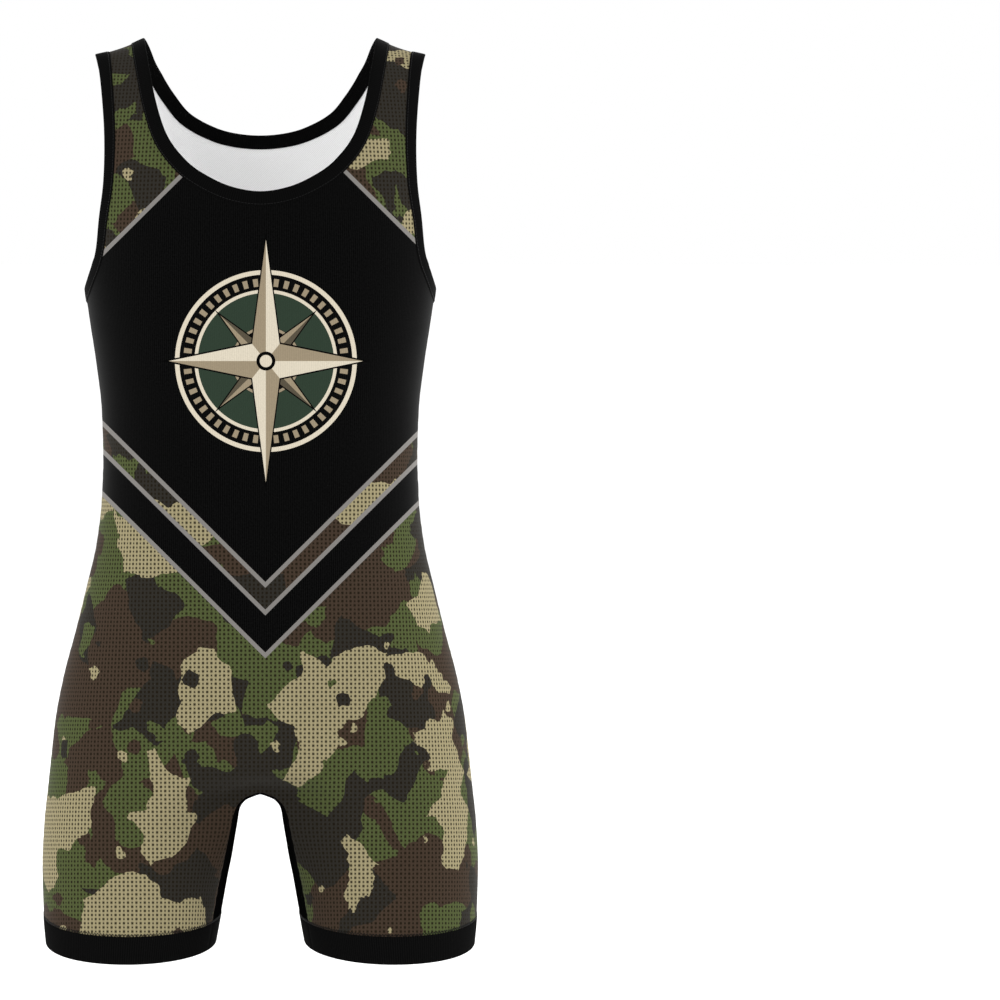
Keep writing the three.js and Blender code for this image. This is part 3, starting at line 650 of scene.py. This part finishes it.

# Fine ribs of the knit, which run up the cloth, made uneven by the grain of the yarn. The rib is a height,
# and the mask by which light on the crests and shade in the troughs are painted into the colour.
ribs, given, put = new_group("knit ribs", [("Place", "Vector", None), ("Pitch", "Float", 1.9 * MM),
                                           ("Slant", "Float", 0.0), ("Grain", "Float", 0.9)],
                             [("Rib", "Float")])
parts = add(ribs, "ShaderNodeSeparateXYZ", given["Place"])
sideways = calc("MULTIPLY_ADD", parts[1], given["Slant"], parts[0])
wave = calc("SINE", calc("DIVIDE", calc("MULTIPLY", sideways, 2 * np.pi), given["Pitch"]))
yarn = add(ribs, "ShaderNodeTexNoise", given["Place"], None, 1 / (1.5 * MM), 0.0)[0]
uneven = calc("MULTIPLY_ADD", calc("SUBTRACT", yarn, 0.5), given["Grain"], 0.5)
ribs.links.new(calc("MULTIPLY_ADD", wave, 0.35, uneven), put["Rib"])

# The print's straight stripes: three in a V below the chest and two that slope up to the neck
STRIPE_HALF = 2.6
STRIPE_SLOPE = 0.993
chevrons, given, put = new_group(
    "chevrons", [("Place", "Vector", None), ("Middle", "Float", 0.0), ("Upper", "Float", 0.0),
                 ("Second", "Float", 0.0), ("Lowest", "Float", 0.0), ("Yoke", "Float", 0.0)],
    [("Stripe", "Float"), ("Camouflage", "Float")])
parts = add(chevrons, "ShaderNodeSeparateXYZ", given["Place"])
sideways = calc("ABSOLUTE", calc("SUBTRACT", parts[0], given["Middle"]))
sloped = calc("MULTIPLY", sideways, STRIPE_SLOPE)
fall = calc("SUBTRACT", parts[1], sloped)
climb = calc("ADD", parts[1], sloped)
stripe = calc("COMPARE", climb, given["Yoke"], STRIPE_HALF * MM)
for socket in ("Upper", "Second", "Lowest"):
    line = calc("COMPARE", fall, given[socket], STRIPE_HALF * MM)
    stripe = calc("MAXIMUM", stripe, line)
chevrons.links.new(stripe, put["Stripe"])
between = calc("MULTIPLY", calc("LESS_THAN", fall, given["Upper"]),
               calc("GREATER_THAN", fall, given["Second"]))
below = calc("LESS_THAN", fall, given["Lowest"])
shoulders = calc("GREATER_THAN", climb, given["Yoke"])
chevrons.links.new(calc("MAXIMUM", calc("MAXIMUM", between, below), shoulders), put["Camouflage"])

PRINT_RIB_SHADE = 0.12
RELIEF = 0.3 * MM
RIB_TO_HOLE = 0.3
RIB_SHADOW, RIB_LIGHT = shade(2, 2, 2), shade(13, 13, 13)
BLACK, STRIPE_GREY = shade(4, 4, 4), shade(117, 114, 111)
CREAM, KHAKI, DARK_GREEN = shade(200, 191, 172), shade(142, 129, 107), shade(43, 56, 45)


def fabric(name, roughness, gloss, sheen):
    """A new material of fine fibres, with its node tree and its shader."""
    material = bpy.data.materials.new(name)
    material.use_nodes = True
    shader = material.node_tree.nodes["Principled BSDF"]
    shader.inputs["Roughness"].default_value = roughness
    shader.inputs["Specular IOR Level"].default_value = gloss
    shader.inputs["Sheen Weight"].default_value = sheen
    shader.inputs["Sheen Roughness"].default_value = 0.35
    return material, material.node_tree, shader


def face_with(tree, shader, colour, height, strength):
    """Gives a shader its colour, and the relief of the stitches from a height."""
    bump = tree.nodes.new("ShaderNodeBump")
    bump.inputs["Strength"].default_value = strength
    bump.inputs["Distance"].default_value = RELIEF
    tree.links.new(height, bump.inputs["Height"])
    tree.links.new(bump.outputs["Normal"], shader.inputs["Normal"])
    tree.links.new(colour, shader.inputs["Base Color"])


def printed_knit(name, middle, levels, ornament):
    """Matt printed stretch knit: camouflage, black and stripes laid over one another, ribbed and dotted.
    The ribs' light and shade and the shade in the holes are painted into the colour.
    """
    material, tree, shader = fabric(name, 0.85, 0.01, 0.08)
    sheet = add(tree, "ShaderNodeUVMap", uv_map="print")[0]
    length = add(tree, "ShaderNodeUVMap", uv_map="cloth")[0]
    camouflage = use(tree, woodland, Place=length)
    # The holes painted with the dark shade seen through them
    dotted = ink(calc("MULTIPLY", camouflage["Dot"], DOT_DEPTH), camouflage["Color"], HOLE_SHADE)
    lines = use(tree, chevrons, Place=sheet, Middle=middle * MM, Upper=levels[0] * MM, Second=levels[1] * MM,
                Lowest=levels[2] * MM, Yoke=levels[3] * MM)
    rib = use(tree, ribs, Place=length)["Rib"]
    # The black's ribs: painted light on their crests and painted shade in their troughs
    black = ink(rib, RIB_SHADOW, RIB_LIGHT)
    colour = ornament(sheet, black)
    # The same painted rib light and shade laid faintly over the print
    colour = ink(calc("MULTIPLY", rib, PRINT_RIB_SHADE), colour, black)
    colour = ink(lines["Camouflage"], colour, dotted)
    colour = ink(lines["Stripe"], colour, STRIPE_GREY)
    dot_here = calc("MULTIPLY", camouflage["Dot"], lines["Camouflage"])
    height = calc("SUBTRACT", calc("MULTIPLY", rib, RIB_TO_HOLE), dot_here)
    face_with(tree, shader, colour, height, 0.35)
    return material


def plain_knit(name, dark, light, pitch, slant=0.0, gloss=0.01, sheen=0.02):
    """Plain ribbed knit in two near tones of one colour, with its ribs upright or slanted. The light tone is
    painted light on the ribs' crests, and the dark tone painted shade in their troughs.
    """
    material, tree, shader = fabric(name, 0.8, gloss, sheen)
    length = add(tree, "ShaderNodeUVMap", uv_map="cloth")[0]
    rib = use(tree, ribs, Place=length, Pitch=pitch * MM, Slant=slant, Grain=0.3)["Rib"]
    face_with(tree, shader, ink(rib, dark, light), rib, 0.4)
    return material


# The chest print: an eight-pointed wind rose in rings. A ring is its radius, half width and colour, and the
# ring of ticks its radius, half width and number.
ROSE_PLACE = (5.0, 124.5)
ROSE_WAIST = 0.2
ROSE_FLAT = 0.8
ROSE_RINGS = ((46.0, 15.0, DARK_GREEN), (62.5, 1.5, CREAM), (29.5, 1.2, KHAKI), (79.5, 2.0, CREAM))
ROSE_TICKS = (70.5, 3.5, 48.0)
OLIVE = shade(80, 73, 60)


def millimetres_from(place, sheet):
    """How far to the side of a place and above it the print lies, in millimetres."""
    parts = add(sheet.id_data, "ShaderNodeSeparateXYZ", sheet)
    return [calc("MULTIPLY_ADD", parts[axis], 1 / MM, -place[axis]) for axis in (0, 1)]


def inside_star(across, up, reach):
    """A four-point star and the light half of its points. A place is inside where its longer side over the
    reach, and its shorter side weighed so that the waist lies on the edge, add up to less than 1."""
    wide, tall = calc("ABSOLUTE", across), calc("ABSOLUTE", up)
    longer, shorter = calc("MAXIMUM", wide, tall), calc("MINIMUM", wide, tall)
    weight = (1 / np.sqrt(0.5) - ROSE_WAIST) / (ROSE_WAIST * reach)
    total = calc("MULTIPLY_ADD", shorter, weight, calc("DIVIDE", longer, reach))
    turn = calc("MULTIPLY", calc("MULTIPLY", across, up), calc("SUBTRACT", tall, wide))
    light = calc("GREATER_THAN", turn, 0.0)
    return calc("LESS_THAN", total, 1.0), light


def front_ornament(sheet, under):
    """The wind rose: a dark ring, plain rings, a ring of ticks, and two stars. The far one is turned by an
    eighth, and the near one is taller than it is wide, because its height counts for less."""
    across, up = millimetres_from(ROSE_PLACE, sheet)
    away = calc("SQRT", calc("ADD", calc("MULTIPLY", across, across), calc("MULTIPLY", up, up)))
    angle = calc("ARCTAN2", up, across)
    colour = under
    for radius, half_width, paint in ROSE_RINGS:
        colour = ink(calc("COMPARE", away, radius, half_width), colour, paint)
    radius, half_width, count = ROSE_TICKS
    ticks = calc("GREATER_THAN", calc("COSINE", calc("MULTIPLY", angle, count)), 0.1)
    ticks = calc("MULTIPLY", ticks, calc("COMPARE", away, radius, half_width))
    colour = ink(ticks, colour, KHAKI)
    slant = [calc(step, across, up) for step in ("ADD", "SUBTRACT")]
    slant = [calc("MULTIPLY", side, np.sqrt(0.5)) for side in slant]
    upright = (across, calc("MULTIPLY", up, ROSE_FLAT))
    for sides, reach, dark, light in ((slant, 58.0, OLIVE, KHAKI), (upright, 87.0, KHAKI, CREAM)):
        border, _ = inside_star(*sides, reach + 7)
        star, lit = inside_star(*sides, reach)
        colour = ink(border, colour, BLACK)
        colour = ink(star, colour, ink(lit, dark, light))
    colour = ink(calc("LESS_THAN", away, 8.5), colour, BLACK)
    return ink(calc("LESS_THAN", away, 5.5), colour, CREAM)


FRONT_LEVELS = (-76.1, -100.8, -139.3, 365.5)
WHITE, WHITE_SHADOW = shade(250, 250, 250), shade(226, 226, 226)
white_inside = plain_knit("white inside knit", WHITE_SHADOW, WHITE, 2.1, 1.0, 0.2, 0.1)
front_print = printed_knit("front print", 4.5, FRONT_LEVELS, front_ornament)
front = panel("front_cloth", "front", FRONT_NECK, FRONT_ARM, [front_print, white_inside])
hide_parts("front_panel")

# Back panel: the back of the body, both legs and the straps, one cut of printed stretch knit, white inside.
# It is cut like the front but with a higher neck, printed to match, and sewn to the front and the gusset.
BACK_NECK = [(0, -84), (33.5, -79.6), (62, -66), (77.5, -48.5), (88.6, -30.7), (97, -13.5)]
BACK_ARM = [(156.8, -222), (155.2, -214), (151.6, -197.8), (146, -182), (139.4, -155.5), (135, -113.8),
            (136.2, -75), (141.6, -45), (145.8, -22)]
BACK_LEVELS = (-63.6, -88.2, -127.2, 378.0)

# The print down the spine: an ear of slanted bars over a dark lozenge
EAR_PLACE = (-6.4, 147.0)
EAR_HALF = (27.0, 131.0)
EAR_PITCH = 24.0
EAR_SLANT = 0.9
EAR_BAR = 0.27
EAR_STALK = 2.2
LOZENGE_REACH = 74.0
LOZENGE_BORDER = (91.0, 6.0)
EAR_SHADE = shade(27, 24, 19)


def back_ornament(sheet, under):
    """Pairs of slanted bars, level with each other, cut off by a long oval, over a lozenge and its border."""
    across, up = millimetres_from(EAR_PLACE, sheet)
    across, over = calc("ABSOLUTE", across), calc("ABSOLUTE", up)
    lozenge = calc("ADD", across, over)
    colour = ink(calc("LESS_THAN", lozenge, LOZENGE_REACH), under, EAR_SHADE)
    colour = ink(calc("COMPARE", lozenge, *LOZENGE_BORDER), colour, EAR_SHADE)
    oval = calc("ADD", calc("POWER", calc("DIVIDE", across, EAR_HALF[0]), 2.0),
                calc("POWER", calc("DIVIDE", over, EAR_HALF[1]), 2.0))
    slanted = calc("MULTIPLY_ADD", across, -EAR_SLANT, up)
    along = calc("PINGPONG", calc("DIVIDE", slanted, EAR_PITCH), 0.5)
    bar = calc("LESS_THAN", along, EAR_BAR)
    bar = calc("MULTIPLY", bar, calc("GREATER_THAN", across, EAR_STALK))
    return ink(calc("MULTIPLY", bar, calc("LESS_THAN", oval, 1.0)), colour, CREAM)


back_print = printed_knit("back print", 0.6, BACK_LEVELS, back_ornament)
back = panel("back_cloth", "back", BACK_NECK, BACK_ARM, [back_print, white_inside])
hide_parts("back_panel")

# Gusset: a strip of plain black knit up the inside of one leg, under the crotch and down the other.
# It is sewn between the front and the back panel, with its inside left bare.
GUSSET_SAG = 5.3
GUSSET_ACROSS = 20
GUSSET_CENTRE = (0, 0, CROTCH - 45)


def gusset_point(s, seam_x, seam_z, inward_x, inward_z):
    """s runs from the front seam, -1, to the back seam, 1: an arc that hangs into the fork under the crotch
    and turns into the inner side of a round leg further down."""
    depth = {face: (fold_depth(face, seam_x, seam_z), section(face, seam_z)) for face in ("front", "back")}
    fold_half = np.where(s < 0, depth["front"][0], depth["back"][0])
    full = np.where(s < 0, depth["front"][1], depth["back"][1])
    lobe = section("lobe", seam_z)
    turned = GUSSET_ANGLE * s * (1 - SEAM / fold_half)
    fold = s * np.pi / 2
    sag = lerp(SEAM, GUSSET_SAG, np.cos(fold))
    rounded = rounded_in(seam_z)
    x = lerp(seam_x + inward_x * sag, lobe - (lobe - seam_x) * np.cos(turned), rounded)
    y = lerp(fold_half * np.sin(fold), full * np.sin(turned), rounded)
    return np.stack(np.broadcast_arrays(x, y, lerp(seam_z + inward_z * sag, seam_z, rounded)), axis=-1)


seam_x, seam_z = (inseam_steps[:, k, None] for k in (0, 1))
before = np.vstack([inseam_steps[1] * [-1, 1], inseam_steps[:-1]])
after = np.vstack([inseam_steps[1:], inseam_steps[-1:]])
heading = unit(after - before)
s = np.linspace(-1, 1, GUSSET_ACROSS + 1)[None]
right_half = gusset_point(s, seam_x, seam_z, heading[:, 1:], -heading[:, :1])
strip = np.concatenate([right_half[:0:-1] * MIRROR, right_half])
across_way = np.gradient(strip, axis=1)
along_way = np.gradient(strip, axis=0)
toward_centre = (np.array(GUSSET_CENTRE) - strip) * [1, 0, 1]
gusset_out = turned_to(unit(np.cross(across_way, along_way)), toward_centre)
for column, face in ((0, "front"), (-1, "back")):
    beside = outward(face, np.zeros(len(inseam_steps)), inseam_steps[:, 1] - ARMPIT)
    gusset_out[:, column] = np.concatenate([beside[:0:-1] * MIRROR, beside])
quads = grid_quads(np.arange(strip[..., 0].size).reshape(strip.shape[:2]))[:, [0, 3, 2, 1]]
run_across = np.cumsum(np.linalg.norm(across_way, axis=-1), axis=1)
run_along = np.cumsum(np.linalg.norm(along_way, axis=-1), axis=0)
lengths = np.stack([run_across, run_along], axis=-1).reshape(-1, 2)
walls, faces, kind = cloth_wall(strip.reshape(-1, 3), gusset_out.reshape(-1, 3), quads)
black_knit = plain_knit("black knit", BLACK, shade(8, 8, 8), 1.9, gloss=0.0, sheen=0.0)
gusset = make_piece("gusset_cloth", walls, faces, [black_knit, white_inside], kind,
                    {"cloth": np.tile(lengths, (2, 1))})
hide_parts("inseam_gusset")

# Bindings: strips of black knit folded over the raw edges of the neck and of both armholes and sewn through,
# one ring round the neck and one round each armhole, with a doubled edge and a fine rib across the strip.
BINDING_OUT = 0.65
BINDING_IN = -1.55
BINDING_LAYER = 0.6
BINDING_CROWN = 0.22
BINDING_DIP = 0.25
BINDING_STEPS = 110


def folded_profile():
    """The strip's cross section as a closed loop: across, 0 at the fold and 1 at the seam, and out. The
    outside, crowned and drawn in at the seam, runs to the fold, turns round it and comes back inside, then
    returns between the two layers."""
    middle, radius = (BINDING_OUT + BINDING_IN) / 2, (BINDING_OUT - BINDING_IN) / 2
    across = np.linspace(1, radius / BINDING_WIDTH, 9)
    crown = BINDING_CROWN * np.sin(np.pi * across)
    turned = np.linspace(0, np.pi, 9)[1:-1]
    outside = np.stack([across, BINDING_OUT + crown - BINDING_DIP * (across > 0.99)], axis=1)
    round_way = (1 - np.sin(turned)) * radius / BINDING_WIDTH
    fold = np.stack([round_way, middle + radius * np.cos(turned)], axis=1)
    inside = np.stack([across[::-1], BINDING_IN - crown[::-1]], axis=1)
    low, high = BINDING_IN + BINDING_LAYER, BINDING_OUT - BINDING_LAYER
    between = np.array([(1, low), (0.2, low), (0.13, low + 0.1),
                        (0.13, high - 0.1), (0.2, high), (1, high - 0.2)])
    return np.concatenate([outside, fold, inside, between])


def binding_quarter(face, points, which):
    """The strip along one panel's right half: the profile square to the cloth at each step of the edge."""
    edge = finished_edge(face, points, which, BINDING_STEPS)
    seam = inset(face, edge, which, BINDING_WIDTH)
    across, out = folded_profile().T
    t = lerp(edge[:, None, 0], seam[:, None, 0], across)
    v = lerp(edge[:, None, 1], seam[:, None, 1], across)
    normal = outward(face, t, v)
    normal[0, :, 0 if which == "neck" else 1] = 0
    normal[-1, :, 1] = 0
    return cloth(face, t, v) + unit(normal) * out[None, :, None]


def ring_piece(name, loop, material):
    """A closed ring of cross sections, with lengths along and round it as its cloth map."""
    steps, size = loop.shape[:2]
    ids = np.arange(steps * size).reshape(steps, size)
    on, up = np.roll(ids, -1, axis=0), np.roll(ids, -1, axis=1)
    quads = np.stack([ids, up, np.roll(up, -1, axis=0), on], axis=-1).reshape(-1, 4)
    along = np.linalg.norm(np.roll(loop, -1, axis=0) - loop, axis=-1).mean(1).cumsum()
    around = np.linalg.norm(np.roll(loop, -1, axis=1) - loop, axis=-1).mean(0).cumsum()
    lengths = np.stack(np.meshgrid(along, around, indexing="ij"), axis=-1).reshape(-1, 2)
    return make_piece(name, loop.reshape(-1, 3), quads, [material], None, {"cloth": lengths}, 60)


def thread(name, colour):
    """Twisted sewing thread, with a faint gloss."""
    material, tree, shader = fabric(name, 0.5, 0.1, 0.0)
    place = add(tree, "ShaderNodeTexCoord")["Object"]
    strand = add(tree, "ShaderNodeTexNoise", place, None, 1 / (0.4 * MM), 1.0, 0.5)[0]
    tree.links.new(ink(strand, BLACK, colour), shader.inputs["Base Color"])
    return material


def stitches(name, places, headings, outs, length, width, material):
    """Stitches as one mesh: at each place a six-sided grain along its heading, thin at both ends."""
    stations = np.array([-1, -0.6, 0.6, 1]).reshape(1, 4, 1, 1) * length / 2
    radii = np.array([0.3, 1, 1, 0.3]).reshape(1, 4, 1, 1) * width / 2
    turned = (np.arange(6) * np.pi / 3).reshape(1, 1, 6, 1)
    beside = unit(np.cross(outs, headings))[:, None, None]
    outs, headings, places = outs[:, None, None], headings[:, None, None], places[:, None, None]
    grains = places + stations * headings + radii * (np.cos(turned) * beside + np.sin(turned) * outs)
    ring = np.arange(24).reshape(4, 6)
    on = np.roll(ring, -1, axis=1)
    sides = np.stack([ring[:-1], on[:-1], on[1:], ring[1:]], axis=-1).reshape(-1, 4)
    caps = [[3, 2, 1, 0], [0, 5, 4, 3], [18, 19, 20, 21], [21, 22, 23, 18]]
    faces = np.concatenate([sides, caps]) + 24 * np.arange(len(grains))[:, None, None]
    return make_piece(name, grains.reshape(-1, 3), faces.reshape(-1, 4), [material])


def along_ring(line, outs, pitch):
    """Even places round a closed line, with the heading and the way out at each."""
    line, outs = np.vstack([line, line[:1]]), np.vstack([outs, outs[:1]])
    share = evenly(line, int(round(step_lengths(line).sum() / pitch)))
    ends = at_share(line, share)
    return (ends[1:] + ends[:-1]) / 2, unit(np.diff(ends, axis=0)), unit(at_share(outs, share)[:-1])


STITCH_ROW = 1
STITCH_UNDER = 23
STITCH_PITCH = 2.8
STITCH_THREAD = 0.55
black_thread = thread("black thread", shade(28, 28, 28))


def binding_stitches(name, loop):
    """The row of stitches that holds a binding, along the profile's second point, next to its seam."""
    outs = unit(loop[:, STITCH_ROW] - loop[:, STITCH_UNDER])
    places, headings, outs = along_ring(loop[:, STITCH_ROW], outs, STITCH_PITCH)
    row = stitches(name, places, headings, outs, 0.8 * STITCH_PITCH, STITCH_THREAD, black_thread)


binding_knit = plain_knit("binding knit", BLACK, shade(11, 11, 11), 1.9)
neck_front = binding_quarter("front", FRONT_NECK, "neck")
neck_back = binding_quarter("back", BACK_NECK, "neck")
neck_half = np.concatenate([neck_front, neck_back[-2::-1]])
neck_loop = np.concatenate([neck_half, neck_half[-2:0:-1] * MIRROR])
neck = ring_piece("neck_binding_cloth", neck_loop, binding_knit)
binding_stitches("neck_stitches", neck_loop)
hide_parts("neck_binding")
arm_front = binding_quarter("front", FRONT_ARM, "arm")
arm_back = binding_quarter("back", BACK_ARM, "arm")
arm_loop = np.concatenate([arm_front, arm_back[-2:0:-1]])
for hand, turned in (("left", arm_loop), ("right", arm_loop * MIRROR)):
    arm = ring_piece(f"armhole_binding_{hand}_cloth", turned, binding_knit)
    binding_stitches(f"armhole_stitches_{hand}", turned)
    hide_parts(f"armhole_binding_{hand}")

# Leg bands: a ring of black rib at each hem, folded double with the fold at the bottom.
# The top is sewn to the panels and the gusset under a line of coverstitch.
BAND_OUT = 0.55
BAND_IN = -2.05
BAND_LAYER = 0.9
BAND_ROUND = 300
BAND_JOIN = 0.6
COVER_PITCH = 1.4
COVER_HEIGHT = 2.5
COVER_THREAD = 0.6
COVER_LIFT = 0.2


def leg_section(z):
    """The outline of the right leg at heights z: along the front, round the gusset and back along the back,
    at even lengths."""
    t = np.linspace(1, 0, 121)
    s = np.linspace(-1, 1, 41)[1:-1]
    z = np.asarray(z, float)[:, None]
    front_part = cloth("front", t[None], z - ARMPIT)
    inner_part = gusset_point(s[None], inseam_x(z), z, -1.0, 0.0)
    back_part = cloth("back", t[None, ::-1], z - ARMPIT)
    loops = np.concatenate([front_part, inner_part, back_part], axis=1)
    return np.stack([at_share(loop, evenly(loop, BAND_ROUND))[:-1] for loop in loops])


def band_profile():
    """Heights and distances out of the band's cross section as a closed loop: down the outside, round the
    fold at the hem, up the inside to just over the seam, and back down and up between the layers."""
    middle, radius = (BAND_OUT + BAND_IN) / 2, (BAND_OUT - BAND_IN) / 2
    top = BAND_TOP - SEAM / 2
    down = np.array([top, top - 0.5, top - 1.2, top - 2.4, top - 8, top - 14, top - 20, HEM + radius])
    out = BAND_OUT - np.array([0.5, 0.2, 0.05, 0, 0, 0, 0, 0])
    turned = np.linspace(0, np.pi, 9)[1:-1]
    fold_z, fold_out = HEM + radius - radius * np.sin(turned), middle + radius * np.cos(turned)
    up_z = np.array([HEM + radius, HEM + 8, HEM + 14, HEM + 20, BAND_TOP + 4])
    back_z = np.array([BAND_TOP + 4, HEM + 14, HEM + 2, HEM + 1.6, HEM + 1.6, HEM + 2, HEM + 14])
    low, high = BAND_IN + BAND_LAYER, BAND_OUT - BAND_LAYER
    back_out = np.array([low, low, low, low + 0.2, high - 0.2, high, high])
    z = np.concatenate([down, fold_z, up_z, back_z])
    return z, np.concatenate([out, fold_out, np.full(5, float(BAND_IN)), back_out])


band_z, band_out = band_profile()
rings = leg_section(band_z)
way = np.roll(rings, -1, axis=1) - np.roll(rings, 1, axis=1)
sideways = unit(np.stack([way[..., 1], -way[..., 0], np.zeros(way.shape[:2])], axis=-1))
leg_middle = np.stack([section("lobe", band_z), np.zeros(len(band_z)), band_z], axis=-1)[:, None]
sideways = turned_to(sideways, rings - leg_middle)
join = np.argmin(np.linalg.norm(rings[0] - cloth("front", 0.0, band_z[0] - ARMPIT), axis=-1))
from_join = np.arange(BAND_ROUND) - join
pinch = BAND_JOIN * np.exp(-from_join ** 2.0) * (band_out[:, None] > 0)
band_loop = np.swapaxes(rings + sideways * (band_out[:, None] - pinch)[..., None], 0, 1)
cover_line = leg_section([BAND_TOP + COVER_HEIGHT / 2])[0]
cover_thread = thread("cover thread", shade(14, 14, 14))
# The band's ribs painted in a shaded and a lit tone, the lit one lighter than the bindings' to stand in for
# sheen
band_rib = plain_knit("leg band rib", BLACK, shade(16, 16, 16), 2.0, gloss=0.002, sheen=0.008)
for hand, side in (("left", 1), ("right", MIRROR)):
    band = ring_piece(f"leg_band_{hand}_cloth", band_loop * side, band_rib)
    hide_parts(f"leg_band_{hand}")
    places, headings, outs = along_ring(cover_line * side, sideways[0] * side, COVER_PITCH)
    zigzag = np.where(np.arange(len(places)) % 2, 1.0, -1.0)[:, None] * np.array([0, 0, 1])
    slants = unit(headings * COVER_PITCH + zigzag * COVER_HEIGHT)
    long = np.hypot(COVER_PITCH, COVER_HEIGHT)
    cover = stitches(f"leg_band_stitches_{hand}", places + outs * COVER_LIFT, slants, outs, long,
                     COVER_THREAD, cover_thread)
